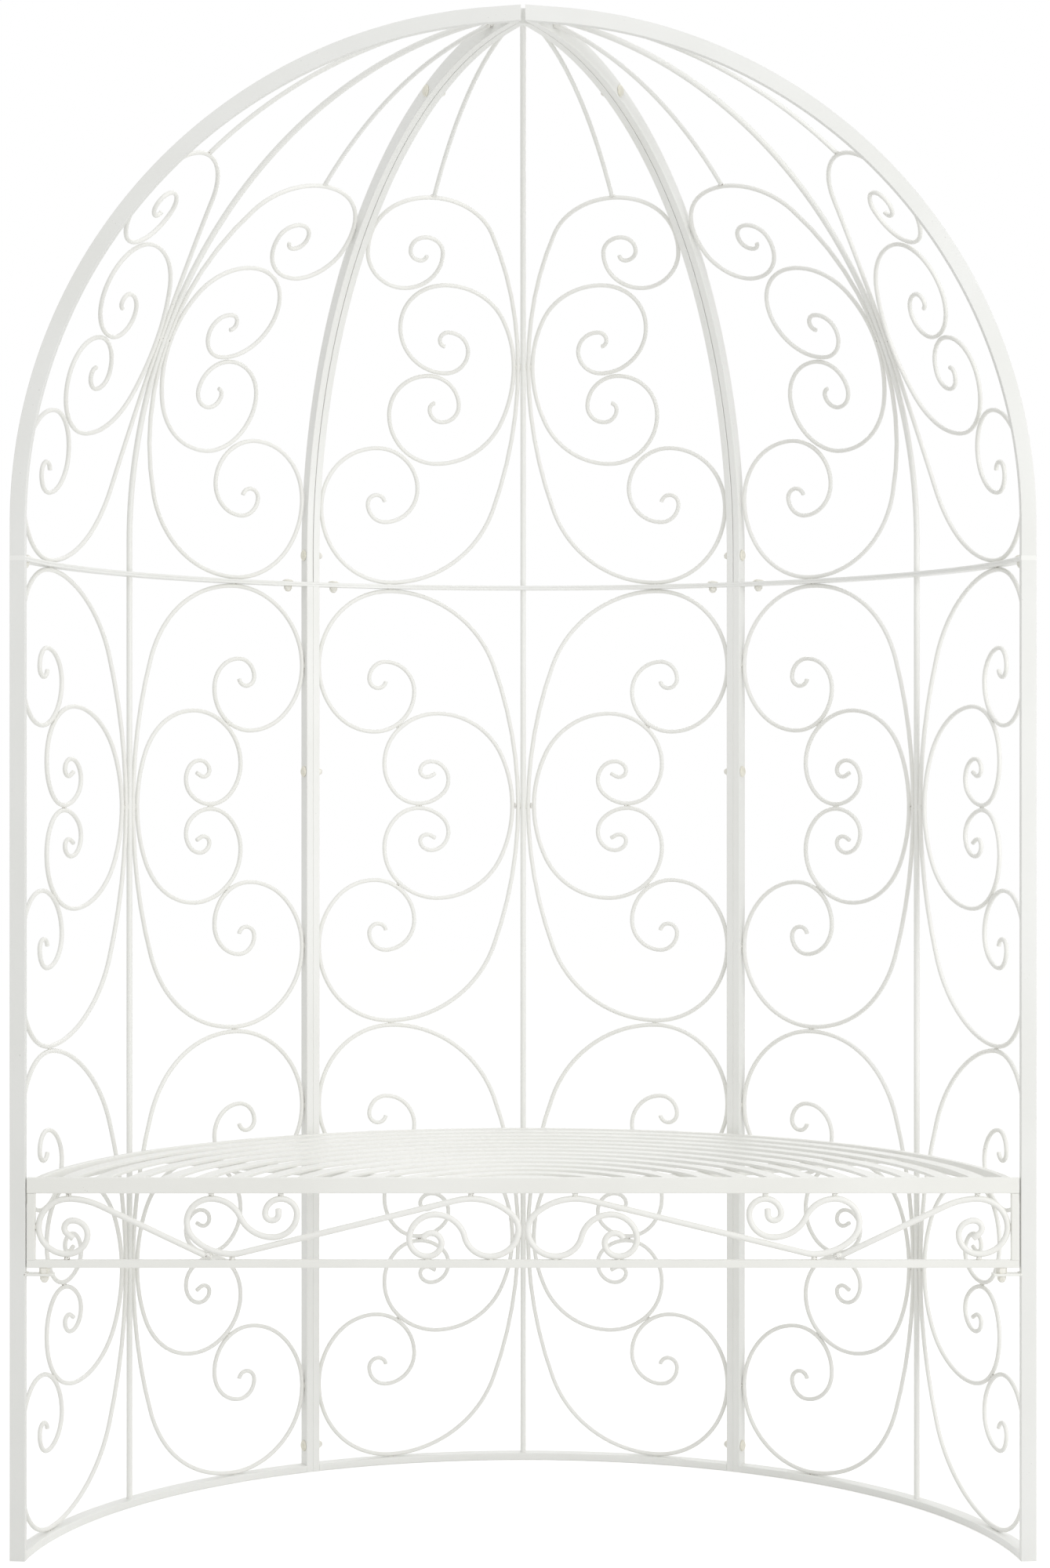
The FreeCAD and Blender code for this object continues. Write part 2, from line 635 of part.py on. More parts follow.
rod_end = (width + gap + rod_reach * math.cos(math.radians(half))) / math.sin(math.radians(half))
crown = on_dome(crown_place)
crown_turn = math.degrees(math.atan2(-crown.x, crown.y))
crown_t = widen(crown_place[1])[0] + w + 2 * gap
strut_end = (width + w + gap) / math.sin(math.radians(half - crown_turn))
struts = [up_dome(side * crown_turn, crown_t, strut_end, wire, 4) for side in (-1, 1)]
dome_rod = [up_dome(0, size("flat_thickness"), rod_end, size("rod_diameter"), 8)]

for panel, step in PANELS:
    azimuth = step * half
    scrolls(panel + "_panel_big_scrolls", lower["big"], azimuth)
    scrolls(panel + "_panel_small_scrolls", lower["small"], azimuth)
    scrolls(panel + "_gore_big_scrolls", gore["big"], azimuth)
    scrolls(panel + "_gore_small_scrolls", gore["small"], azimuth)
    scrolls(panel + "_gore_centre_rod", dome_rod, azimuth)
    scrolls(panel + "_gore_struts", struts, azimuth)

# Seat

seat_base = size("seat_height") - size("seat_rail_height")
front = size("axis_offset")
keep(box("seat_front_rail", ("front_length", "seat_rail_width", "seat_rail_height"),
         (-size("front_half"), front, seat_base)), "seat_front_rail")
rail = ring_bar("seat_curved_rail_bar", radius("rail_inner"), radius("rail_outer"),
                "seat_rail_height", seat_base, "level", "seat_line")
keep(cut("seat_curved_rail", rail, [rear_holes]), "seat_curved_rail")

seat_half = doc.addObject("Part::Box", "seat_half")
seat_half.setExpression("Length", "2 * Sizes.ring_radius")
seat_half.setExpression("Width", "Sizes.ring_radius")
seat_half.setExpression("Height", "Sizes.seat_height")
seat_half.Placement.Base = Vector(-size("ring_radius"), size("seat_line"), 0)
slats = []
for n in range(1, SLATS + 1):
    pitch = size("slat_width") + size("slat_gap")
    r = size("rail_inner") - n * pitch + size("slat_width") / 2
    path = [Vector(x, y, size("seat_height") - size("slat_thickness") / 2)
            for x, y in bend((r, 0), 90, [(r, 180)], size("slat_sag"))]
    slats.append(sweep(path, UP, size("slat_width"), size("slat_thickness")))
strips = doc.addObject("Part::Feature", "slat_strips")
strips.Shape = Part.makeCompound(slats)
deck = doc.addObject("Part::Common", "seat_slats")
deck.Base, deck.Tool = strips, seat_half
keep(deck, "seat_slats")

seat_disc = doc.addObject("Part::Cylinder", "seat_disc")
seat_disc.setExpression("Radius", "Sizes.rail_inner")
seat_disc.setExpression("Height", "Sizes.seat_height")
seat_field = doc.addObject("Part::Common", "seat_field")
seat_field.Base, seat_field.Tool = seat_disc, seat_half
bearers = doc.addObject("Part::Compound", "bearer_bars")
bearers.Links = [
    box("bearer_%s" % word, ("bearer_width", "ring_radius", "bearer_height"),
        (-size("bearer_width") / 2, 0, seat_base), side * 2 * half)
    for side, word in ((-1, "left"), (1, "right"))]
held = doc.addObject("Part::Common", "seat_bearers")
held.Base, held.Tool = bearers, seat_field
keep(held, "seat_bearers")

# Apron and its scrolls, drawn for the left half in a field 619.5 long and 85 high

apron_rail = box("apron_lower_rail_bar", ("front_length", "apron_bar", "apron_bar"),
                 (-size("front_half"), front, size("apron_bottom")))
end_bars = doc.addObject("Part::Compound", "apron_end_bars")
end_bars.Links = [
    box("apron_end_bar_%s" % word, ("apron_bar", "apron_bar", "end_bar_height"),
        (x, front, size("apron_bottom") + size("apron_bar")))
    for word, x in (("left", -size("front_half")),
                    ("right", size("front_half") - size("apron_bar")))]
keep(end_bars, "apron_end_bars")

outer_scroll = bend((-401.8, 4), 153.5,
                    [(None, 151.4), (90, 26.5), (38, 90), (36, 90), (19, 90), (14, 60)])
from_line = (-222.5, 43.5)
to_middle = bend(from_line, 14.4,
                 [(None, 140.4), (82, -14.4), (73.5, -45), (28, -45), (35.7, -90), (33.5, -77.3),
                  (38.3, 77.3), (33, 90), (23, 90), (18, 90), (13, 90), (11, 70)])
to_end = bend(from_line, 194.4,
              [(None, 141.5), (41, -14.4), (67.8, -45), (32.8, -45), (31, -90), (40, -66.9),
               (44.8, 66.9), (31, 90), (20.5, 90), (20, 90), (9, 90), (8, 90), (None, 8)])
apron_w = size("apron_wire") / 2 + gap
apron_base = size("apron_bottom") + size("apron_bar")
lift = (seat_base - apron_base - 2 * apron_w) / 77.0
spread = (size("front_half") - size("apron_bar") - apron_w) / 615.5
apron_pieces = []
for path in (outer_scroll, list(reversed(to_end[1:])) + to_middle[1:]):
    path = [Vector(x * spread, front + size("seat_rail_width") / 2,
                   apron_base + apron_w + (z - 4) * lift) for x, z in path]
    piece = sweep(path, Vector(0, 1, 0), size("apron_wire"))
    apron_pieces += [piece, piece.mirror(Vector(), Vector(1, 0, 0))]
scrolls("apron_scrolls", apron_pieces, 0)

# Fixings

tab_bars = doc.addObject("Part::Compound", "seat_tab_bars")
tab_bars.Links = [
    box("seat_tab_%s" % word, ("tab_width", "tab_length", "tab_thickness"),
        (-size("tab_width") if side > 0 else 0, size("ring_inner") - size("tab_length"),
         size("apron_bottom") - size("spacer_height") - size("tab_thickness")), side * 3 * half)
    for side, word in ((-1, "left"), (1, "right"))]


def stud_hole(grip):
    deep = size("thread_grip") + size("bolt_fit")
    return square(size("bolt_size") + 2 * size("bolt_fit"), grip + deep + 1, -deep)


def stud(grip):
    return square(size("bolt_size"), grip + 2 * size("thread_grip"), -size("thread_grip"))


def sleeve(start, height):
    body = prism(6, size("spacer_size"), height, start)
    return body.cut(square(size("bolt_size") + 2 * size("bolt_fit"), height + 2, start - 1))


def washer(grip):
    thick = size("washer_thickness")
    disc = prism(12, size("washer_size"), thick, grip - thick)
    return disc.cut(square(size("bolt_size") + 2 * size("bolt_fit"), thick + 2, grip - thick - 1))


stud_holes = group("stud_holes", stud_places, stud_hole)
keep(cut("apron_lower_rail", apron_rail, [stud_holes]), "apron_lower_rail")
keep(cut("seat_tabs", tab_bars, [stud_holes]), "seat_tabs")
keep(group("seam_bolts", seam_places, bolt), "seam_bolts")
keep(group("seam_nuts", seam_places, cap_nut), "seam_nuts")
keep(group("ring_bolts", ring_places, bolt), "ring_bolts")
keep(group("ring_nuts", ring_places, cap_nut), "ring_nuts")
keep(group("seat_rear_bolts", rear_places, bolt), "seat_rear_bolts")
keep(group("seat_studs", stud_places, stud), "seat_studs")
keep(group("seat_washers", stud_places, washer), "seat_washers")
keep(group("seat_nuts", rear_places + stud_places, cap_nut), "seat_nuts")
spacers = group("seat_rear_spacers", rear_places,
                lambda grip: sleeve(size("bar_depth"), size("seat_clearance")))
keep(spacers, "seat_rear_spacers")
keep(group("seat_front_spacers", stud_places, lambda grip: sleeve(0, size("spacer_height"))),
     "seat_front_spacers")

# Checks, then one file for each piece

doc.recompute()
faults = [obj.Name for obj in doc.Objects if "Invalid" in obj.State or "Error" in obj.State]
for obj in nodes:
    if obj.Shape.isNull() or not obj.Shape.isValid() or not obj.Shape.Solids:
        faults.append(obj.Label)
if faults:
    raise RuntimeError("these pieces failed: " + ", ".join(faults))
os.makedirs("parts", exist_ok=True)
for obj in nodes:
    shape = obj.Shape.copy()
    shape.translate(Vector(0, -size("plan_middle"), 0))
    shape.exportStep("parts/%s.step" % obj.Label)
print("%d pieces written" % len(nodes))
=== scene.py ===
import json
import math

import bmesh
import bpy
from mathutils import Matrix, Vector, noise


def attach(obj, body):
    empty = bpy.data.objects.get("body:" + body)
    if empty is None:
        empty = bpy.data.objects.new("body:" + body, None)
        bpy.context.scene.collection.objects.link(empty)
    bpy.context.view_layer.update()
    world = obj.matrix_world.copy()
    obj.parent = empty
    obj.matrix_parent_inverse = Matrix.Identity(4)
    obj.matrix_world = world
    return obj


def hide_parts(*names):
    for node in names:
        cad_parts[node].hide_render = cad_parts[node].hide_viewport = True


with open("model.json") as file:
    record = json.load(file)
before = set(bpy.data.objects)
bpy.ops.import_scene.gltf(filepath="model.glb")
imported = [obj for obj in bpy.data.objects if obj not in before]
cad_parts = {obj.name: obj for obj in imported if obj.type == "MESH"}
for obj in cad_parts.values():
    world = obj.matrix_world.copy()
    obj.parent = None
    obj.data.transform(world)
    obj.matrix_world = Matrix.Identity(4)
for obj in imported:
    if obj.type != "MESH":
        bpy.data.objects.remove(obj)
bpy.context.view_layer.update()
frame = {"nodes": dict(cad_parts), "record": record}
MM = 0.001
NODES = frame["nodes"]

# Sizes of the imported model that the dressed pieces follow, in millimetres

# outer radius of the panels, how far behind its centre the front posts stand, and tube section
RING, OFFSET, DEPTH, BAR = 657.5, 57.5, 20.0, 10.0
# height of the joint between panels and dome, and thickness of flat bars and bottom rails
JOINT, FLAT, RAIL = 1280.0, 3.0, 10.0
# a rib runs straight up, then bends at this radius, and ends at a slope
STRAIGHT, DOME, SLOPE = 45.0, 645.0, math.radians(3)
# half the angle of a panel, and how many of it each panel's middle is turned from the back
HALF = math.acos(OFFSET / RING) / 3
PANELS = (("left", -2), ("back", 0), ("right", 2))
# radii of rod and wire, the gap at a weld, and what curls that touch stand further apart
ROD, WIRE, GAP, BULGE = 4.0, 3.0, 0.3, 2.5
# radius on which the rods and scrolls of the panels lie
MID = RING - DEPTH / 2
# pieces are drawn about the axis that the curves share, which stands in front of the origin
AXIS = Vector((0, -RING / 2 * MM, 0))


# Camera and light

# focal length and shift in pixels of a frame of this height, solved from the photo
SENSOR, FOCAL_PIXELS, FRAME_HEIGHT = 36, 3855, 2000
SHIFT_X, SHIFT_Y = 2.4, 3.5
EYE_AHEAD, EYE_HEIGHT = 3.7975, 0.988
camera = bpy.data.cameras.new("camera")
camera.sensor_fit = "VERTICAL"
camera.sensor_height = SENSOR
camera.lens = SENSOR * FOCAL_PIXELS / FRAME_HEIGHT
camera.shift_x = SHIFT_X / FRAME_HEIGHT
camera.shift_y = SHIFT_Y / FRAME_HEIGHT
eye = bpy.data.objects.new("camera", camera)
eye.location = AXIS + Vector((0, -EYE_AHEAD, EYE_HEIGHT))
eye.rotation_euler = (math.radians(90), 0, 0)
bpy.context.collection.objects.link(eye)
bpy.context.scene.camera = eye
bpy.context.scene.view_settings.view_transform = "Standard"


def lamp(name, spot, target, side, power):
    data = bpy.data.lights.new(name, "AREA")
    data.shape = "SQUARE"
    data.size = side
    data.energy = power
    obj = bpy.data.objects.new(name, data)
    obj.location = spot
    aim = Vector(target) - Vector(spot)
    obj.rotation_euler = aim.to_track_quat("-Z", "Y").to_euler()
    bpy.context.collection.objects.link(obj)


lamp("key", (3.1, -3.0, 1.7), (0.1, 0.0, 0.9), 1.8, 50)
lamp("fill", (-2.8, -2.6, 1.8), (0, 0.0, 0.8), 2.4, 2)
lamp("top", (0.0, -2.4, 4.8), (0, 0.1, 0.8), 1.8, 25)
lamp("rear", (0.4, 3.0, 3.0), (0, 0.0, 1.0), 2.4, 24)


# Materials

def graph(name):
    material = bpy.data.materials.new(name)
    material.use_nodes = True
    tree = material.node_tree
    tree.nodes.clear()
    return material, tree


def add(tree, kind, inputs=None, **settings):
    node = tree.nodes.new(kind)
    for key, value in settings.items():
        setattr(node, key, value)
    for key, value in (inputs or {}).items():
        if isinstance(value, bpy.types.NodeSocket):
            tree.links.new(value, node.inputs[key])
        else:
            node.inputs[key].default_value = value
    return node


def ramp(tree, factor, stops):
    node = add(tree, "ShaderNodeValToRGB", {"Fac": factor})
    elements = node.color_ramp.elements
    while len(elements) < len(stops):
        elements.new(0.5)
    for element, (spot, tone) in zip(elements, stops):
        element.position = spot
        element.color = (*tone, 1) if isinstance(tone, tuple) else (tone, tone, tone, 1)
    return node.outputs["Color"]


def paint(name, tone, roughness, chips, worn=0.60, flaked=0.71):
    # satin powder coat with orange peel, a faint drift of tone and chips down to the steel;
    # `chips` is how strongly these show, and a lower `worn` or `flaked` makes more of them
    material, tree = graph(name)
    at = add(tree, "ShaderNodeTexCoord").outputs["Object"]
    drift = add(tree, "ShaderNodeTexNoise", {"Vector": at, "Scale": 4.0, "Detail": 2.0}).outputs["Fac"]
    mottle = add(tree, "ShaderNodeTexNoise", {"Vector": at, "Scale": 22.0, "Detail": 2.0}).outputs["Fac"]
    low = tuple(c * k for c, k in zip(tone, (0.965, 0.965, 0.955)))
    high = tuple(min(1.0, c * 1.015) for c in tone)
    coat = ramp(tree, drift, ((0.3, low), (0.7, high)))
    spots = ramp(tree, mottle, ((0.35, 0.99), (0.65, 1.0)))
    coat = add(tree, "ShaderNodeMix", {"Factor": 1.0, "A": coat, "B": spots},
               data_type="RGBA", blend_type="MULTIPLY")
    coat = coat.outputs["Result"]
    where = add(tree, "ShaderNodeTexNoise", {"Vector": at, "Scale": 13.0, "Detail": 2.0}).outputs["Fac"]
    flake = add(tree, "ShaderNodeTexNoise", {"Vector": at, "Scale": 420.0, "Detail": 3.0}).outputs["Fac"]
    where = ramp(tree, where, ((worn, 0.0), (worn + 0.08, 1.0)))
    flake = ramp(tree, flake, ((flaked, 0.0), (flaked + 0.02, 1.0)))
    bare = add(tree, "ShaderNodeMath", {0: where, 1: flake}, operation="MULTIPLY").outputs[0]
    bare = add(tree, "ShaderNodeMath", {0: bare, 1: chips}, operation="MULTIPLY").outputs[0]
    rust = ramp(tree, flake, ((0.35, (0.16, 0.11, 0.08)), (0.65, (0.30, 0.27, 0.24))))
    shown = add(tree, "ShaderNodeMix", {"Factor": bare, "A": coat, "B": rust}, data_type="RGBA")
    gloss = ramp(tree, mottle, ((0.3, roughness - 0.04), (0.7, roughness + 0.06)))
    peel = add(tree, "ShaderNodeTexNoise", {"Vector": at, "Scale": 350.0, "Detail": 1.0}).outputs["Fac"]
    depth = add(tree, "ShaderNodeMath", {0: bare, 1: -2.0, 2: peel}, operation="MULTIPLY_ADD").outputs[0]
    bump = add(tree, "ShaderNodeBump", {"Strength": 0.06, "Distance": 0.00008, "Height": depth})
    shader = add(tree, "ShaderNodeBsdfPrincipled",
                 {"Base Color": shown.outputs["Result"], "Roughness": gloss,
                  "Normal": bump.outputs["Normal"], "IOR": 1.5})
    add(tree, "ShaderNodeOutputMaterial", {"Surface": shader.outputs["BSDF"]})
    return material


def zinc(name, dull, pale, warm):
    # passivated zinc with soft blotches of three tones
    material, tree = graph(name)
    at = add(tree, "ShaderNodeTexCoord").outputs["Object"]
    blotch = add(tree, "ShaderNodeTexNoise", {"Vector": at, "Scale": 160.0, "Detail": 4.0}).outputs["Fac"]
    grain = add(tree, "ShaderNodeTexNoise", {"Vector": at, "Scale": 1500.0, "Detail": 2.0}).outputs["Fac"]
    tone = ramp(tree, blotch, ((0.3, dull), (0.55, pale), (0.75, warm)))
    gloss = ramp(tree, blotch, ((0.3, 0.36), (0.7, 0.52)))
    bump = add(tree, "ShaderNodeBump", {"Strength": 0.25, "Distance": 0.0001, "Height": grain})
    shader = add(tree, "ShaderNodeBsdfPrincipled",
                 {"Base Color": tone, "Roughness": gloss, "Metallic": 0.2,
                  "Normal": bump.outputs["Normal"]})
    add(tree, "ShaderNodeOutputMaterial", {"Surface": shader.outputs["BSDF"]})
    return material


COATS = {
    "frame_paint": paint("frame_coat", (0.895, 0.898, 0.876), 0.40, 1.0),
    "scroll_paint": paint("scroll_coat", (0.898, 0.896, 0.866), 0.42, 0.6),
    "rod_paint": paint("rod_coat", (0.895, 0.896, 0.87), 0.42, 0.6),
    "seat_paint": paint("seat_coat", (0.876, 0.876, 0.842), 0.38, 0.7),
    "zinc_fixings": zinc("zinc", (0.74, 0.72, 0.64), (0.84, 0.83, 0.78), (0.80, 0.77, 0.68)),
}
# the posts and arches at the front take a darker copy of the frame's coat, painted shade that makes them
# render greyer than the rest of the frame
SHADED_FRONT_COAT = paint("front_shaded_coat", (0.828, 0.832, 0.812), 0.40, 1.0)
FRONT_BARS = ("left_panel_left_stile", "left_gore_left_rib",
              "right_panel_right_stile", "right_gore_right_rib")
WELD_COAT = paint("weld_coat", (0.88, 0.876, 0.84), 0.46, 0.9, 0.40, 0.57)
YELLOW_ZINC = zinc("yellow_zinc", (0.74, 0.72, 0.61), (0.82, 0.80, 0.71), (0.78, 0.75, 0.63))
SLOT = {row["node"]: row["material_slot"] for row in frame["record"]["subparts"]}


def place(obj, slot, *replaced, coat=None):
    obj.data.transform(Matrix.Translation(AXIS))
    bpy.context.collection.objects.link(obj)
    obj.data.materials.append(coat or COATS[slot])
    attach(obj, "root")
    if replaced:
        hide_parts(*replaced)
    return obj


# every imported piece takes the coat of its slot; those that nothing replaces are seen in it
for name, obj in NODES.items():
    obj.data.materials.clear()
    obj.data.materials.append(COATS[SLOT[name]])


# Bars: drawn tube and flat bar, with their long edges rounded by these radii

STILE_EDGE, RIB_EDGE, RAIL_EDGE, FLAT_EDGE = 0.7, 0.9, 1.2, 0.5
APRON_EDGE, BEARER_EDGE, SLAT_EDGE, TAB_EDGE = 1.0, 0.9, 0.7, 0.6
# a bent bar has a ring of points about every so many millimetres
RING_STEP = 7


def soft_section(low, high, soft):
    # points round a rectangle whose corners are rounded
    points = []
    for cx, cy, first in ((1, 1, 0), (0, 1, 90), (0, 0, 180), (1, 0, 270)):
        x = low[0] + soft + cx * (high[0] - low[0] - 2 * soft)
        y = low[1] + soft + cy * (high[1] - low[1] - 2 * soft)
        for a in (0, 30, 60, 90):
            a = math.radians(first + a)
            points.append((x + soft * math.cos(a), y + soft * math.sin(a)))
    return points


def skin(shape, rings):
    # closes a bar over its rings of points
    rows = [[shape.verts.new(p * MM) for p in ring] for ring in rings]
    size = len(rows[0])
    for one, two in zip(rows, rows[1:]):
        for j in range(size):
            shape.faces.new((one[j], one[(j + 1) % size], two[(j + 1) % size], two[j]))
    shape.faces.new(list(reversed(rows[0])))
    shape.faces.new(rows[-1])


def straight_bar(shape, low, high, along, soft, azimuth=0.0):
    # a box whose edges along one axis are rounded, turned about the axis of the object
    a, b = [k for k in range(3) if k != along]
    spin = Matrix.Rotation(-azimuth, 3, "Z")
    rings = []
    for end in (low[along], high[along]):
        ring = []
        for p, q in soft_section((low[a], low[b]), (high[a], high[b]), soft):
            point = Vector((0, 0, 0))
            point[a], point[b], point[along] = p, q, end
            ring.append(spin @ point)
        rings.append(ring)
    skin(shape, rings)


def curved_bar(shape, inner, outer, low, high, half_turn, line, soft, azimuth=0.0):
    # a bar bent round the axis, its ends parallel to two end planes and `line` short of them
    count = max(24, round(inner * half_turn / RING_STEP))
    rings = []
    for i in range(count + 1):
        ring = []
        for rho, z in soft_section((inner, low), (outer, high), soft):
            a = azimuth + (half_turn - math.asin(line / rho)) * (2 * i / count - 1)
            ring.append(Vector((rho * math.sin(a), rho * math.cos(a), z)))
        rings.append(ring)
    skin(shape, rings)


def sliced(shape, spot, normal):
    # cuts away what lies behind a plane and closes the cut
    done = bmesh.ops.bisect_plane(shape, geom=shape.verts[:] + shape.edges[:] + shape.faces[:],
                                  plane_co=spot * MM, plane_no=normal, clear_inner=True)
    rim = [e for e in done["geom_cut"] if isinstance(e, bmesh.types.BMEdge)]
    bmesh.ops.holes_fill(shape, edges=rim, sides=0)


def finish_mesh(shape, name, angle=40, even=False):
    bmesh.ops.recalc_face_normals(shape, faces=shape.faces)
    mesh = bpy.data.meshes.new(name)
    shape.to_mesh(mesh)
    shape.free()
    for face in mesh.polygons:
        face.use_smooth = True
    mesh.set_sharp_from_angle(angle=math.radians(angle))
    obj = bpy.data.objects.new(name, mesh)
    if even:
        # flat sides stay flat beside their rounded edges
        weighted = obj.modifiers.new("even", "WEIGHTED_NORMAL")
        weighted.keep_sharp = True
    return obj


def dress(node, shape):
    # the front posts and arches take the copy of the frame's coat that has painted shade in it
    coat = SHADED_FRONT_COAT if node in FRONT_BARS else None
    place(finish_mesh(shape, node + "_drawn", even=True), SLOT[node], node, coat=coat)


def meridian(t, inset, base=None):
    # distance from the axis and height of a point t up the dome, inset from its outer face;
    # t is measured along the inset line itself, or along the line inset by `base`
    r = DOME - inset
    along = r if base is None else DOME - base
    if t <= STRAIGHT:
        return RING - inset, t
    angle = min((t - STRAIGHT) / along, math.pi / 2 - SLOPE)
    rest = t - STRAIGHT - along * angle
    return (RING - DOME + r * math.cos(angle) - rest * math.cos(SLOPE),
            STRAIGHT + r * math.sin(angle) + rest * math.sin(SLOPE))


# between the arches at the peak, from the axis to the back ribs' tips, and off a rib's twin
PEAK_GAP, TIP_BACK, LOOSE = 5.5, 17.0, 0.3
# long enough to pass the axis before the tip is cut off
RIB_LENGTH = STRAIGHT + DOME * (math.pi / 2 - SLOPE) + 80
RIB_RINGS = 120


def rib(panel, word, side, azimuth):
    # up from the joint and over the dome, mitred on its twin, and trimmed at the peak
    shape = bmesh.new()
    rings = []
    for i in range(RIB_RINGS + 1):
        t = FLAT + (RIB_LENGTH - FLAT) * i / RIB_RINGS
        ring = []
        for across, inset in soft_section((LOOSE, 0), (BAR, DEPTH), RIB_EDGE):
            rho, z = meridian(t, inset, 0.0)
            ring.append(Vector((-side * across, rho, JOINT + z)))
        rings.append(ring)
    skin(shape, rings)
    sliced(shape, Vector((0, 0, 0)), Vector((side * math.cos(HALF), math.sin(HALF), 0)))
    bmesh.ops.rotate(shape, cent=(0, 0, 0), matrix=Matrix.Rotation(-azimuth, 3, "Z"),
                     verts=shape.verts)
    if panel == "back":
        sliced(shape, Vector((0, TIP_BACK, 0)), Vector((0, 1, 0)))
    else:
        out = -1 if panel == "left" else 1
        sliced(shape, Vector((out * PEAK_GAP / 2, 0, 0)), Vector((out, 0, 0)))
    dress("%s_gore_%s_rib" % (panel, word), shape)


def panel_bars(panel, step):
    for side, word in ((-1, "left"), (1, "right")):
        shape = bmesh.new()
        start = -BAR if side > 0 else 0
        straight_bar(shape, (start, RING - DEPTH, 0), (start + BAR, RING, JOINT - FLAT), 2,
                     STILE_EDGE, (step + side) * HALF)
        dress("%s_panel_%s_stile" % (panel, word), shape)
        rib(panel, word, side, (step + side) * HALF)
    for part, low, high, line, soft in (
        ("panel_bottom_rail", 0, RAIL, BAR, RAIL_EDGE),
        ("panel_top_flat", JOINT - FLAT, JOINT, 0, FLAT_EDGE),
        ("gore_bottom_flat", JOINT, JOINT + FLAT, 0, FLAT_EDGE),
    ):
        shape = bmesh.new()
        curved_bar(shape, RING - DEPTH, RING, low, high, HALF, line, soft, step * HALF)
        dress("%s_%s" % (panel, part), shape)


for panel, step in PANELS:
    panel_bars(panel, step)


# Seat and apron

# height of the slats' top, of the rails under it, and of the apron down from it
SEAT, SEAT_RAIL, APRON = 489.0, 20.0, 115.0
APRON_BASE = SEAT - APRON
SLATS, SLAT_PITCH, SLAT_WIDTH, SLAT_THICK = 13, 42.5, 20, 4
# bearers are drawn from this far off the axis, and cut at the front rail; they and the last
# slat leave this much room to the rails
BEARER_START, BEARER_ROOM, SLAT_ROOM = 20, 0.05, 0.1
TAB_LENGTH, TAB_WIDTH, TAB_THICK = 35, 16, 3
# sleeves between the back panel and the curved rail, and between the apron and its tabs
REAR_SPACER, FRONT_SPACER = 10.5, 7.0
# from the front rail's end to the post, and from that end to the stud under it
POST_GAP, STUD_INSET = 2.2, 21.8

front_half = (RING - DEPTH) * math.sin(3 * HALF) - POST_GAP
rail_outer = RING - DEPTH - REAR_SPACER
rail_inner = rail_outer - BAR
rail_back = OFFSET + BAR

shape = bmesh.new()
straight_bar(shape, (-front_half, OFFSET, SEAT - SEAT_RAIL), (front_half, rail_back, SEAT), 0,
             RAIL_EDGE)
dress("seat_front_rail", shape)
shape = bmesh.new()
curved_bar(shape, rail_inner, rail_outer, SEAT - SEAT_RAIL, SEAT, math.pi / 2, rail_back, RAIL_EDGE)
dress("seat_curved_rail", shape)
shape = bmesh.new()
straight_bar(shape, (-front_half, OFFSET, APRON_BASE), (front_half, rail_back, APRON_BASE + BAR), 0,
             APRON_EDGE)
dress("apron_lower_rail", shape)
shape = bmesh.new()
for x in (-front_half, front_half - BAR):
    straight_bar(shape, (x, OFFSET, APRON_BASE + BAR), (x + BAR, rail_back, SEAT - SEAT_RAIL), 2,
                 APRON_EDGE)
dress("apron_end_bars", shape)
shape = bmesh.new()
slats_base = SEAT - SLAT_THICK
for side in (-1, 1):
    straight_bar(shape, (-BAR / 2, BEARER_START, slats_base - BAR),
                 (BAR / 2, rail_inner - BEARER_ROOM, slats_base), 1, BEARER_EDGE, side * 2 * HALF)
sliced(shape, Vector((0, rail_back, 0)), Vector((0, 1, 0)))
dress("seat_bearers", shape)
shape = bmesh.new()
tab_top = APRON_BASE - FRONT_SPACER
for side in (-1, 1):
    start = -TAB_WIDTH if side > 0 else 0
    straight_bar(shape, (start, RING - DEPTH - TAB_LENGTH, tab_top - TAB_THICK),
                 (start + TAB_WIDTH, RING - DEPTH, tab_top), 1, TAB_EDGE, side * 3 * HALF)
dress("seat_tabs", shape)
shape = bmesh.new()
for n in range(1, SLATS + 1):
    inner = rail_inner - n * SLAT_PITCH
    # of the last one only the part behind the front rail is there
    curved_bar(shape, max(inner, rail_back + SLAT_ROOM), inner + SLAT_WIDTH, slats_base, SEAT,
               math.pi / 2, rail_back, SLAT_EDGE)
dress("seat_slats", shape)


# Bent round wire, laid out on the flat as the bender draws it, then wrapped on its panel

def bend(start, heading, arcs):
    # points along arcs, each (radius, degrees); plus turns left; with no radius the second
    # number is a straight length; small arcs take bigger steps of angle
    x, y = start
    angle = math.radians(heading)
    points = [(x, y)]
    for r, amount in arcs:
        if r is None:
            x, y = x + amount * math.cos(angle), y + amount * math.sin(angle)
            points.append((x, y))
            continue
        count = max(2, math.ceil(abs(amount) / (3.5 if r > 45 else 6)))
        step = math.radians(amount) / count
        chord = 2 * r * math.sin(abs(step) / 2)
        for _ in range(count):
            angle += step / 2
            x, y = x + chord * math.cos(angle), y + chord * math.sin(angle)
            angle += step / 2
            points.append((x, y))
    return points


def quarter(dx, dy, first):
    # radii of two arcs that make a quarter turn over (dx, dy), the first of `first` degrees
    c, s = math.cos(math.radians(first)), math.sin(math.radians(first))
    det = (1 - c) * (1 - s) - c * s
    return ((1 - s) * dx - c * dy) / det, ((1 - c) * dy - s * dx) / det


def half_c(back, top, first, curls):
    # from the back of a C to its top and on into its curl, of quarter turns that grow tighter
    r1, r2 = quarter(back[0] - top[0], top[1] - back[1], first)
    arcs = [(r1, first), (r2, 90 - first)] + [(r, 90) for r in curls[:-1]] + [(curls[-1], 80)]
    return bend(back, 90, arcs)


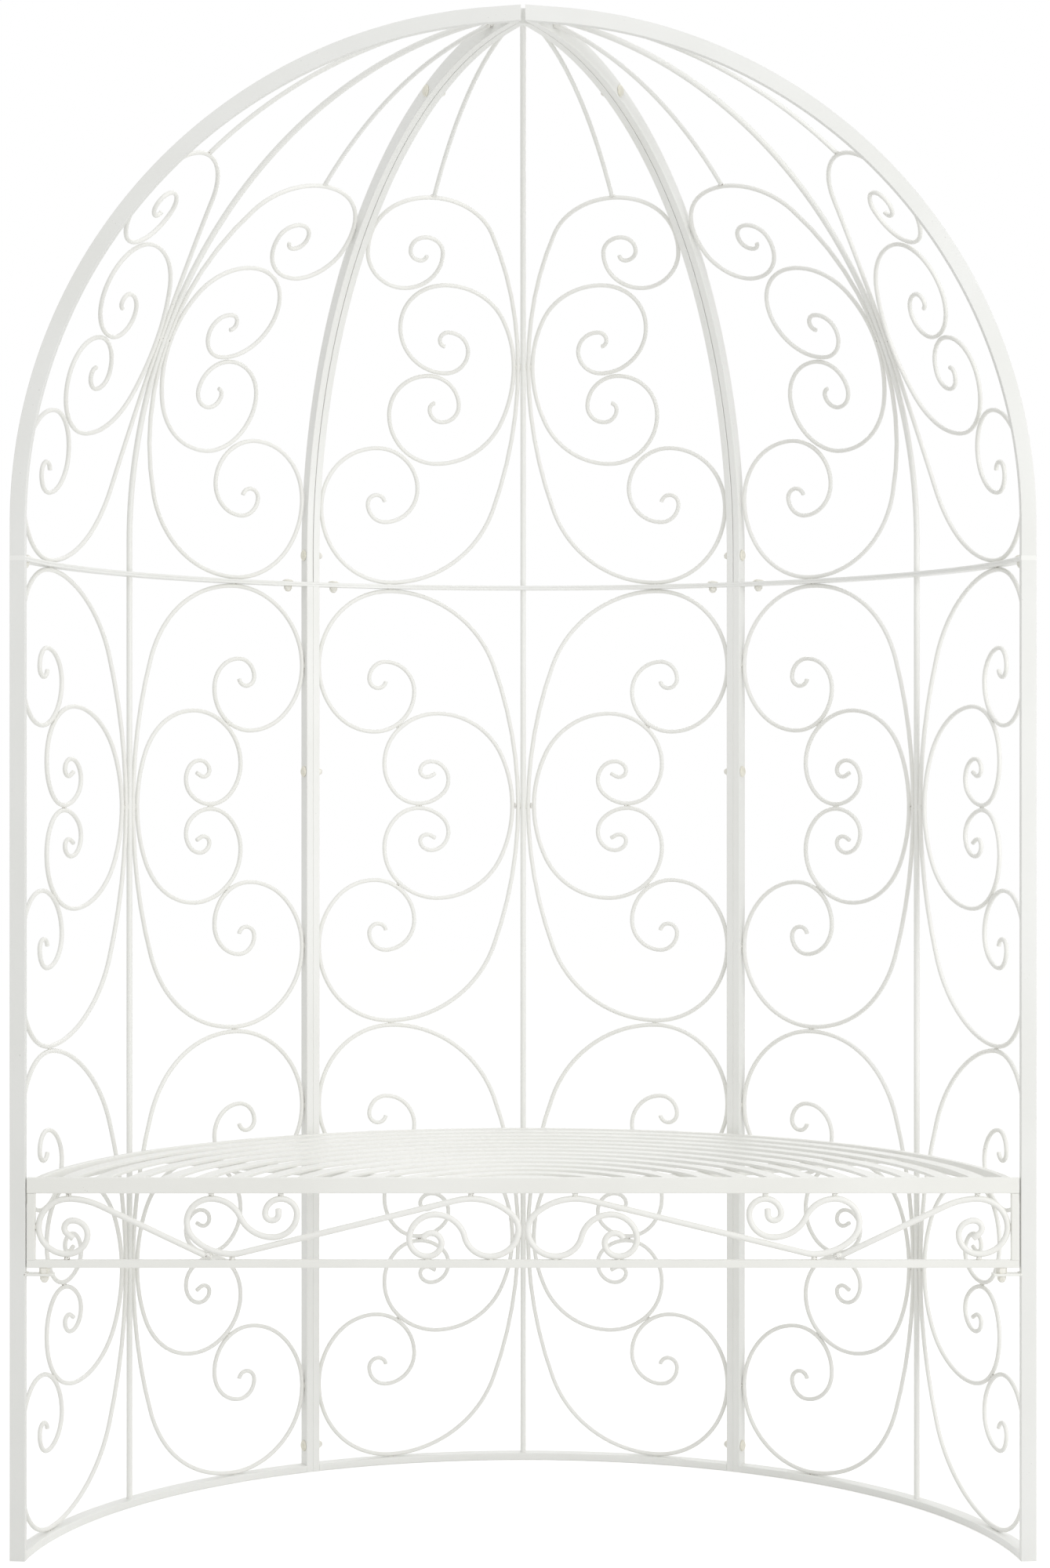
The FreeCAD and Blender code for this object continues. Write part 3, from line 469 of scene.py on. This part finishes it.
def oval_c(back, top, first, turns, tail):
    # the same with oval turns, each a quarter that reaches (aside, ahead)
    arcs = list(zip(quarter(back[0] - top[0], top[1] - back[1], first), (first, 90 - first)))
    for aside, ahead in turns:
        arcs += [(r, 45) for r in quarter(aside, ahead, 45)]
    return bend(back, 90, arcs + tail)


def whole_c(upper, lower, middle):
    # the lower half is drawn upwards too, and mirrored in the height of the middle
    return [(u, 2 * middle - v) for u, v in reversed(lower[1:])] + upper


def contact(top, curl, curl_radius, apart):
    # radius of the turn under `top` that stops `apart` short of a neighbour's curl
    k, d, m = abs(curl[1] - top[1]), abs(curl[0] - top[0]), curl_radius + apart
    return (d * d + k * k - m * m) / (2 * (m - k))


def turned(points, azimuth):
    spin = Matrix.Rotation(-azimuth, 3, "Z")
    return [spin @ p for p in points]


def mirrored(points):
    return [Vector((-p.x, p.y, p.z)) for p in points]


# points nearer than this count as one; each end gets two more points, this far in, and its tip
# and the first of the two are narrowed to these parts of the radius
SAME, END_POINTS, END_PARTS = 0.02, (0.25, 0.8), (0.72, 0.9)


def wires(name, paths, radius, slot, *replaced):
    # round wire with sheared and lightly rounded ends
    curve = bpy.data.curves.new(name, "CURVE")
    curve.dimensions = "3D"
    curve.bevel_depth = radius * MM
    curve.bevel_resolution = 4
    curve.use_fill_caps = True
    for path in paths:
        path = [p for i, p in enumerate(path) if i == 0 or (p - path[i - 1]).length > SAME]
        for end, inner in ((0, 1), (-1, -2)):
            way = (path[inner] - path[end]).normalized()
            extra = [path[end] + way * k for k in END_POINTS]
            if end == 0:
                path[1:1] = extra
            else:
                path[-1:-1] = list(reversed(extra))
        spline = curve.splines.new("POLY")
        spline.points.add(len(path) - 1)
        for i, p in enumerate(path):
            edge = min(i, len(path) - 1 - i)
            spline.points[i].co = (p.x * MM, p.y * MM, p.z * MM, 1)
            spline.points[i].radius = END_PARTS[edge] if edge < 2 else 1.0
        spline.use_smooth = True
    return place(bpy.data.objects.new(name, curve), slot, *replaced)


# C scrolls of the lower panels

# the drawing has its own width and half height, its back stands this far from the middle,
# and the backs of the big and the small scroll leave this gap between them
FIELD_WIDTH, FIELD_HEIGHT, FIELD_BACK, BACKS_APART = 300.0, 313.0, 7.0, 2
field_back = ROD + WIRE + GAP
field_left = HALF * MID - BAR - WIRE - GAP
rod_height = JOINT - FLAT - RAIL
repeat = rod_height / 2
stretch = (field_left - field_back) / FIELD_WIDTH
rise = (repeat / 2 - WIRE - GAP) / FIELD_HEIGHT
weld = (WIRE + GAP) / min(stretch, rise)

big_top, small_top = (-196.0, FIELD_HEIGHT), (-126.0, 135.0)
small_back = -FIELD_BACK - 2 * weld - BACKS_APART
big_turns = [(111, 111), (86, 94), (59, 60), (43, 43), (25, 25), (13.5, 13.5)]
small_turns = [(74, 80), (52, 61 - weld), (34.7, 44), (25.6, 27), (14, 16.4), (10, 9)]
big_half = oval_c((-FIELD_BACK, 0), big_top, 20, big_turns, [(12, 80)])
small_half = oval_c((small_back, 0), small_top, 25, small_turns, [(12, 30), (None, 8)])


def on_panel(point, centre):
    # from the drawing, stretched to the field, onto the panel's curve about a height
    u = -(field_back + (-point[0] - FIELD_BACK) * stretch)
    a = u / MID
    return Vector((MID * math.sin(a), MID * math.cos(a), centre + point[1] * rise))


# C scrolls of the gores, drawn to size: (distance from the rod, way up the rib)

def on_dome(point):
    u, t = point
    rho, z = meridian(t, DEPTH / 2)
    return Vector((rho * math.sin(u / rho), rho * math.cos(u / rho), JOINT + z))


# `kiss` is the height at which the small scroll's two curls touch
middle, kiss, kiss_gap = 326.0, 312.5, 2.3
side_by_side = 2 * WIRE + GAP
crown, foot = (-126, 593), (-198, FLAT + WIRE + GAP)
small_crown, small_foot = (-109, 449.8), (-129, 181)
curls_apart = 2 * (WIRE + GAP) + BULGE
big_up = half_c((-field_back, middle), crown, 20, [99.5, 51, 60, 23, 24, 14, 10])
big_down = half_c((-field_back, middle), (foot[0], 2 * middle - foot[1]), 20,
                  [105, 90, 57, 50, 25, 14, 12])
gore_small_back = -field_back - side_by_side
up3 = contact(small_crown, (-174.5, 502.5), 60, curls_apart)
small_up = half_c((gore_small_back, middle), small_crown, 25,
                  [up3, small_crown[1] - up3 - kiss - kiss_gap, 34, 28, 13, 9])
down3 = contact(small_foot, (-213, 144.3), 57, curls_apart)
small_down = half_c((gore_small_back, middle), (small_foot[0], 2 * middle - small_foot[1]), 25,
                    [down3, kiss - kiss_gap - small_foot[1] - down3, 43, 25, 18, 10])

lower = {"big": [], "small": []}
for n in range(2):
    centre = RAIL + repeat * (n + 0.5)
    for kind, halfway in (("big", big_half), ("small", small_half)):
        path = [on_panel(p, centre) for p in whole_c(halfway, halfway, 0)]
        lower[kind] += [path, mirrored(path)]
upper = {}
for kind, above, under in (("big", big_up, big_down), ("small", small_up, small_down)):
    path = [on_dome(p) for p in whole_c(above, under, middle)]
    upper[kind] = [path, mirrored(path)]


# Rods and struts that follow the dome

DOME_STEP = 12


def up_dome(azimuth, start, end_radius):
    # up a meridian until it comes within a distance of the axis
    points = []
    t = start
    while True:
        rho, z = meridian(t, DEPTH / 2)
        if rho <= end_radius:
            break
        points.append(Vector((rho * math.sin(azimuth), rho * math.cos(azimuth), JOINT + z)))
        t += DOME_STEP
    lo, hi = t - DOME_STEP, t
    for _ in range(30):
        half_way = (lo + hi) / 2
        if meridian(half_way, DEPTH / 2)[0] > end_radius:
            lo = half_way
        else:
            hi = half_way
    rho, z = meridian(lo, DEPTH / 2)
    points.append(Vector((rho * math.sin(azimuth), rho * math.cos(azimuth), JOINT + z)))
    return points


rod_end = (BAR + GAP + ROD * math.cos(HALF)) / math.sin(HALF)
crown_spot = on_dome(crown)
crown_turn = math.atan2(-crown_spot.x, crown_spot.y)
strut_end = (BAR + WIRE + GAP) / math.sin(HALF - crown_turn)
struts = [up_dome(side * crown_turn, crown[1] + WIRE + 2 * GAP, strut_end) for side in (-1, 1)]
dome_rod = [up_dome(0, FLAT, rod_end)]

for panel, step in PANELS:
    turn = step * HALF
    for kind in ("big", "small"):
        node = "%s_panel_%s_scrolls" % (panel, kind)
        wires(node + "_round", [turned(p, turn) for p in lower[kind]], WIRE, "scroll_paint", node)
        node = "%s_gore_%s_scrolls" % (panel, kind)
        wires(node + "_round", [turned(p, turn) for p in upper[kind]], WIRE, "scroll_paint", node)
    node = panel + "_gore_centre_rod"
    wires(node + "_round", [turned(p, turn) for p in dome_rod], ROD, "rod_paint", node)
    node = panel + "_gore_struts"
    wires(node + "_round", [turned(p, turn) for p in struts], WIRE, "rod_paint", node)


# Apron scrolls, drawn half as wide as the apron and stretched to its rails

APRON_WIRE, DRAWN_HALF, DRAWN_HEIGHT, DRAWN_BASE = 4.0, 615.5, 77.0, 4
# left under the seat's rail for the welds
TOP_ROOM = 3.0
outer_scroll = bend((-401.8, 4), 153.5,
                    [(None, 151.4), (90, 26.5), (38, 90), (36, 90), (26, 90), (19, 90), (10.5, 90),
                     (9, 50), (None, 11)])
from_line = (-222.5, 43.5)
to_middle = bend(from_line, 14.4,
                 [(None, 140.4), (82, -14.4), (73.5, -45), (28, -45), (35.7, -90), (33.5, -77.3),
                  (38.3, 77.3), (33, 90), (23, 90), (18, 90), (13, 90), (11, 70)])
to_end = bend(from_line, 194.4,
              [(None, 141.5), (41, -14.4), (67.8, -45), (32.8, -45), (31, -90), (40, -66.9),
               (44.8, 66.9), (31, 90), (20.5, 90), (20, 90), (9, 90), (8, 90), (None, 8)])
off_rail = APRON_WIRE + GAP
apron_base = APRON_BASE + BAR
lift = (SEAT - SEAT_RAIL - apron_base - 2 * off_rail - TOP_ROOM) / DRAWN_HEIGHT
spread = (front_half - BAR - off_rail) / DRAWN_HALF
apron = []
for drawn in (outer_scroll, list(reversed(to_end[1:])) + to_middle):
    path = [Vector((x * spread, OFFSET + BAR / 2, apron_base + off_rail + (z - DRAWN_BASE) * lift))
            for x, z in drawn]
    apron += [path, mirrored(path)]
wires("apron_scrolls_round", apron, APRON_WIRE, "scroll_paint", "apron_scrolls")


# Fixings: turned heads, capped nuts

def lathe(shape, rings, matrix, flats=0):
    # rings of (radius, height); with flats, radii stop at the faces of a hexagon that wide
    count = 36
    rows = []
    for r, z in rings:
        row = []
        for i in range(count):
            a = 2 * math.pi * i / count
            reach = r
            if flats:
                lean = (math.degrees(a) % 60) - 30
                reach = min(r, flats / 2 / math.cos(math.radians(lean)))
            row.append(shape.verts.new(matrix @ Vector((reach * math.cos(a), reach * math.sin(a), z))))
        rows.append(row)
    for one, two in zip(rows, rows[1:]):
        for j in range(count):
            shape.faces.new((one[j], one[(j + 1) % count], two[(j + 1) % count], two[j]))
    shape.faces.new(list(reversed(rows[0])))
    shape.faces.new(rows[-1])


def neck(shape, side, length, matrix):
    # the square shank under a head
    corners = [matrix @ Vector((x * side / 2, y * side / 2, z))
               for z in (-IN_HEAD, length) for x, y in ((1, 1), (-1, 1), (-1, -1), (1, -1))]
    v = [shape.verts.new(c) for c in corners]
    for quad in ((0, 1, 5, 4), (1, 2, 6, 5), (2, 3, 7, 6), (3, 0, 4, 7), (3, 2, 1, 0), (4, 5, 6, 7)):
        shape.faces.new([v[k] for k in quad])


def stand(spot, way, upright):
    # from millimetres along `way` at a spot to the metres of the scene
    z = way.normalized()
    x = upright.normalized()
    y = z.cross(x)
    rows = [(x[k] * MM, y[k] * MM, z[k] * MM, spot[k] * MM) for k in range(3)]
    return Matrix(rows + [(0, 0, 0, 1)])


def polar(azimuth, r, z, aside=0.0):
    # a point at a distance and height, turned about the axis
    return Matrix.Rotation(-azimuth, 3, "Z") @ Vector((aside, r, z))


UP = Vector((0, 0, 1))
# up the stiles, up the ribs, and from a stile along the joint
STILE_BOLTS, RIB_BOLTS, RING_BOLT = (37.0, 1010.0), (42.0, 796.0), 26
BOLT, NUT_WIDTH, SLEEVE_WIDTH, WASHER, WASHER_WIDTH = 6.0, 10.0, 12.0, 1.2, 13.0
# a shank starts inside its head and ends inside its nut; the rear bolts have a little slack
IN_HEAD, IN_NUT, SLACK = 0.5, 5, 0.2
# each fixing is (place under the head, way of the bolt, upright, grip)
seams, rings = [], []
for side in (-1, 1):
    spin = Matrix.Rotation(-side * HALF, 3, "Z")
    across = spin @ Vector((-side, 0, 0))
    for z in STILE_BOLTS:
        seams.append((polar(side * HALF, MID, z, side * BAR), across, UP, 2 * BAR))
    for t in RIB_BOLTS:
        rho, z = meridian(t, DEPTH / 2)
        lean = (t - STRAIGHT) / (DOME - DEPTH / 2)
        tilt = spin @ Vector((0, math.cos(lean), math.sin(lean)))
        seams.append((polar(side * HALF, rho, JOINT + z, side * BAR), across, tilt, 2 * BAR))
reach = HALF - (BAR + RING_BOLT) / MID
for panel, step in PANELS:
    for side in (-1, 1):
        turn = step * HALF + side * reach
        rings.append((polar(turn, MID, JOINT + FLAT), -UP, polar(turn, 1, 0), 2 * FLAT))
rear, studs = [], []
for side in (-1, 1):
    spot = polar(side * HALF, RING, SEAT - SEAT_RAIL / 2, -side * BAR / 2)
    rear.append((spot, -polar(side * HALF, 1, 0), UP, DEPTH + REAR_SPACER + BAR + SLACK))
    spot = Vector((side * (front_half - STUD_INSET), OFFSET + BAR / 2, APRON_BASE))
    studs.append((spot, -UP, Vector((1, 0, 0)), FRONT_SPACER + TAB_THICK + WASHER))

# outlines of a domed head and a capped nut, as (radius, height)
HEAD = ((7.2, 0.0), (7.9, -0.25), (8.0, -0.8), (7.6, -1.6), (6.6, -2.5), (5.0, -3.3),
        (3.0, -3.8), (1.0, -4.0))
NUT = ((5.05, 0), (5.9, 0.35), (5.9, 3.9), (5.3, 4.4), (4.6, 4.6), (4.45, 5.4), (4.05, 6.3),
       (3.3, 7.2), (2.2, 7.8), (0.9, 8.0))


def bolts(name, places, coat=None):
    shape = bmesh.new()
    for spot, way, upright, grip in places:
        matrix = stand(spot, way, upright)
        lathe(shape, HEAD, matrix)
        neck(shape, BOLT, grip + IN_NUT, matrix)
    place(finish_mesh(shape, name + "_domed", angle=35), "zinc_fixings", name, coat=coat)


def nuts(name, places):
    shape = bmesh.new()
    for spot, way, upright, grip in places:
        matrix = stand(spot + way.normalized() * grip, way, upright)
        lathe(shape, NUT, matrix, NUT_WIDTH)
    place(finish_mesh(shape, name + "_capped", angle=30), "zinc_fixings", name)


def sleeves(name, places, start, height, across, hexagonal=True):
    # spacer sleeves and washers with broken edges; with no start they end where the grip does
    shape = bmesh.new()
    edge = min(0.5, height / 4)
    reach = across / 2 / math.cos(math.pi / 6) if hexagonal else across / 2
    profile = ((reach - edge, 0), (reach, edge), (reach, height - edge), (reach - edge, height))
    for spot, way, upright, grip in places:
        low = grip - height if start is None else start
        matrix = stand(spot + way.normalized() * low, way, upright)
        lathe(shape, profile, matrix, across if hexagonal else 0)
    place(finish_mesh(shape, name + "_turned", angle=30), "zinc_fixings", name)


sleeves("seat_rear_spacers", rear, DEPTH, REAR_SPACER, SLEEVE_WIDTH)
sleeves("seat_front_spacers", studs, 0.0, FRONT_SPACER, SLEEVE_WIDTH)
sleeves("seat_washers", studs, None, WASHER, WASHER_WIDTH, False)
bolts("seam_bolts", seams, YELLOW_ZINC)
bolts("ring_bolts", rings)
bolts("seat_rear_bolts", rear)
nuts("seam_nuts", seams)
nuts("ring_nuts", rings)
nuts("seat_nuts", rear + studs)


# Weld beads: sizes are length, thickness along the drawing and depth through it

WIRE_BEAD, STRUT_BEAD = (9.0, 2.4, 4.6), (12.0, 7.6, 7.6)
# on the apron's rails, to which the room left there is added, on its end bar, where two scrolls
# cross, and on a post's tab
RAIL_BEAD, END_BEAD = (7.5, 2.6, 6.0), (8, 2.6, 5.5)
CROSS_BEAD, TAB_BEAD = (11, 7.5, 7.0), (17, 5.5, 6.5)
# the middle of an apron wire that is welded to a rail is nearer to it than this, and the
# middle of a bead in the dome is this far outside the wire
RAIL_REACH, BEAD_OFF = 9.0, 0.2
# the seed of each bead picks its lumps; those on the apron's rails are counted up from theirs
STRUT_SEED, RAIL_SEED, END_SEED, CROSS_SEED, TAB_SEED = 90.0, 40, 61, 62, 63
BEAD_RINGS, BEAD_SIDES = 10, 8


def bead(shape, spot, along, normal, size, seed):
    # a lumpy spindle, laid along a seam
    length, thick, deep = size
    along = along.normalized()
    side = normal.cross(along).normalized()
    normal = along.cross(side)
    rows = []
    for i in range(1, BEAD_RINGS):
        a = math.pi * i / BEAD_RINGS
        row = []
        for j in range(BEAD_SIDES):
            b = 2 * math.pi * j / BEAD_SIDES
            x = -math.cos(a) * length / 2
            fat = math.sin(a) ** 0.6
            p = Vector((seed * 7.3 + x * 0.4, math.cos(b) * 1.3, math.sin(b) * 1.3 + seed))
            fat *= 1 + 0.22 * noise.noise(p)
            row.append(shape.verts.new((spot + along * x + side * (math.cos(b) * fat * thick / 2)
                                        + normal * (math.sin(b) * fat * deep / 2)) * MM))
        rows.append(row)
    tips = [shape.verts.new((spot + along * (k * length / 2)) * MM) for k in (-1, 1)]
    for one, two in zip(rows, rows[1:]):
        for j in range(BEAD_SIDES):
            after = (j + 1) % BEAD_SIDES
            shape.faces.new((one[j], one[after], two[after], two[j]))
    for j in range(BEAD_SIDES):
        after = (j + 1) % BEAD_SIDES
        shape.faces.new((tips[0], rows[0][after], rows[0][j]))
        shape.faces.new((tips[1], rows[-1][j], rows[-1][after]))


def joint_bead(shape, wrap, point, heading, seed):
    # a bead at a point of the flat drawing, lying along a direction of that drawing
    here = wrap(point)
    there = wrap((point[0] + math.cos(heading), point[1] + math.sin(heading)))
    normal = (wrap((point[0] + 1, point[1])) - here).cross(wrap((point[0], point[1] + 1)) - here)
    bead(shape, here, there - here, normal, WIRE_BEAD, seed)


def touch(one, two):
    # where two wires of a drawing come nearest, and the way the first one runs there
    _, i, j = min((math.dist(p, q), i, j) for i, p in enumerate(one) for j, q in enumerate(two))
    p, q = one[i], two[j]
    ahead = one[min(i + 1, len(one) - 1)]
    behind = one[max(i - 1, 0)]
    return ((p[0] + q[0]) / 2, (p[1] + q[1]) / 2), math.atan2(ahead[1] - behind[1], ahead[0] - behind[0])


def write_beads(name, azimuth, spots, ends=()):
    # at spots of a drawing, and at the far ends of paths
    shape = bmesh.new()
    for seed, (wrap, (point, heading)) in enumerate(spots, start=1):
        joint_bead(shape, wrap, point, heading, float(seed))
    for path in ends:
        bead(shape, path[-1], path[-1] - path[-2], UP, STRUT_BEAD, STRUT_SEED)
    both_sides(shape, name, azimuth)


def both_sides(shape, name, azimuth=0.0):
    # adds the mirror image, and turns both to their panel
    copies = shape.copy()
    bmesh.ops.scale(copies, vec=(-1, 1, 1), verts=copies.verts)
    mesh = bpy.data.meshes.new("twin")
    copies.to_mesh(mesh)
    copies.free()
    shape.from_mesh(mesh)
    bpy.data.meshes.remove(mesh)
    bmesh.ops.rotate(shape, cent=(0, 0, 0), matrix=Matrix.Rotation(-azimuth, 3, "Z"),
                     verts=shape.verts)
    place(finish_mesh(shape, name, angle=60), "scroll_paint", coat=WELD_COAT)


def panel_spots():
    # on the flats and rails, on the stiles, between the scrolls, and on the rod
    spots = []
    upright = math.pi / 2
    hit, way = touch(big_half, small_half)
    on_stile = -FIELD_BACK - FIELD_WIDTH - weld
    kissing = small_top[0] - small_turns[0][1] + small_turns[1][0]
    for n in range(2):
        def wrap(point, centre=RAIL + repeat * (n + 0.5)):
            return on_panel(point, centre)
        for s in (1, -1):
            spots.append((wrap, ((big_top[0], s * (FIELD_HEIGHT + weld)), 0.0)))
            spots.append((wrap, ((on_stile, s * (FIELD_HEIGHT - big_turns[0][0])), upright)))
            spots.append((wrap, ((hit[0], s * hit[1]), s * way)))
        spots.append((wrap, ((-FIELD_BACK + weld, 0), upright)))
        spots.append((wrap, ((-FIELD_BACK - weld - BACKS_APART / 2, 0), upright)))
        spots.append((wrap, ((kissing, 0), 0.0)))
    return spots


def gore_spots():
    # on the struts and the flat, on the rod and between the backs, and between the scrolls
    upright = math.pi / 2
    off_wire = WIRE + BEAD_OFF
    spots = [((crown[0], crown[1] + off_wire), 0.0), ((foot[0], foot[1] - off_wire), 0.0),
             ((-field_back + WIRE + GAP, middle), upright),
             ((-field_back - off_wire, middle), upright)]
    spots.append(touch(big_up, small_up))
    (x, y), way = touch(big_down, small_down)
    spots.append(((x, 2 * middle - y), -way))
    return [(on_dome, spot) for spot in spots]


def crests(path, level, reach):
    # where a wire of the apron comes nearest to a rail
    near = []
    for a, b, c in zip(path, path[1:], path[2:]):
        away = [abs(p.z - level) for p in (a, b, c)]
        if away[1] < reach and away[1] <= away[0] and away[1] < away[2]:
            near.append(b)
    return near


def apron_welds():
    shape = bmesh.new()
    seed = RAIL_SEED
    length, thick, deep = RAIL_BEAD
    across, back = Vector((1, 0, 0)), Vector((0, 1, 0))
    # where the scrolls meet the rails, as thick as the room that is left there
    for path in (apron[0], apron[2]):
        for level, way in ((SEAT - SEAT_RAIL, 1), (apron_base, -1)):
            for p in crests(path, level, RAIL_REACH):
                room = abs(level - p.z) - APRON_WIRE
                spot = Vector((p.x, p.y, level - way * room / 2))
                bead(shape, spot, across, back, (length, room + thick, deep), seed)
                seed += 1
    # on the end bar, where the two scrolls cross, and under the post's tab
    end = min(apron[0], key=lambda p: p.x)
    bead(shape, end - across * APRON_WIRE, UP, back, END_BEAD, END_SEED)
    crossing = apron[0][0] + Vector((2, -1.5, 1))
    bead(shape, crossing, Vector((1, 0, -0.3)), back, CROSS_BEAD, CROSS_SEED)
    tab = polar(-3 * HALF, RING - DEPTH, tab_top - TAB_THICK / 2, TAB_WIDTH / 2)
    bead(shape, tab, polar(-3 * HALF, 0, 0, 1), UP, TAB_BEAD, TAB_SEED)
    both_sides(shape, "apron_welds")


for panel, step in PANELS:
    write_beads(panel + "_panel_welds", step * HALF, panel_spots())
    write_beads(panel + "_gore_welds", step * HALF, gore_spots(), struts[:1])
apron_welds()


# Floor and backdrop, plain white to the eye and in what reflects or lets through

FLOOR_HALF, FLOOR_GLOW, AMBIENT = 14, 0.42, 0.675


def seen(tree):
    # 1 for rays from the camera and for glossy and transmission rays, else 0
    path = add(tree, "ShaderNodeLightPath")
    clear = add(tree, "ShaderNodeMath", {0: path.outputs["Is Camera Ray"],
                                         1: path.outputs["Is Glossy Ray"]}, operation="MAXIMUM")
    clear = add(tree, "ShaderNodeMath", {0: clear.outputs[0],
                                         1: path.outputs["Is Transmission Ray"]}, operation="MAXIMUM")
    return clear.outputs[0]


material, tree = graph("floor_white")
glow = add(tree, "ShaderNodeMath", {0: seen(tree), 1: FLOOR_GLOW}, operation="MULTIPLY").outputs[0]
body = add(tree, "ShaderNodeBsdfDiffuse", {"Color": (0.86, 0.86, 0.85, 1)})
light = add(tree, "ShaderNodeEmission", {"Color": (1, 1, 1, 1), "Strength": glow})
both = add(tree, "ShaderNodeAddShader", {0: body.outputs[0], 1: light.outputs[0]})
add(tree, "ShaderNodeOutputMaterial", {"Surface": both.outputs[0]})
shape = bmesh.new()
bmesh.ops.create_grid(shape, x_segments=8, y_segments=8, size=FLOOR_HALF)
mesh = bpy.data.meshes.new("floor")
shape.to_mesh(mesh)
shape.free()
floor = bpy.data.objects.new("floor", mesh)
floor.data.materials.append(material)
bpy.context.collection.objects.link(floor)

world = bpy.data.worlds.new("studio")
bpy.context.scene.world = world
world.use_nodes = True
tree = world.node_tree
tree.nodes.clear()
strength = add(tree, "ShaderNodeMath", {0: seen(tree), 1: 1 - AMBIENT, 2: AMBIENT},
               operation="MULTIPLY_ADD").outputs[0]
sky = add(tree, "ShaderNodeBackground", {"Color": (1, 1, 1, 1), "Strength": strength})
add(tree, "ShaderNodeOutputWorld", {"Surface": sky.outputs[0]})
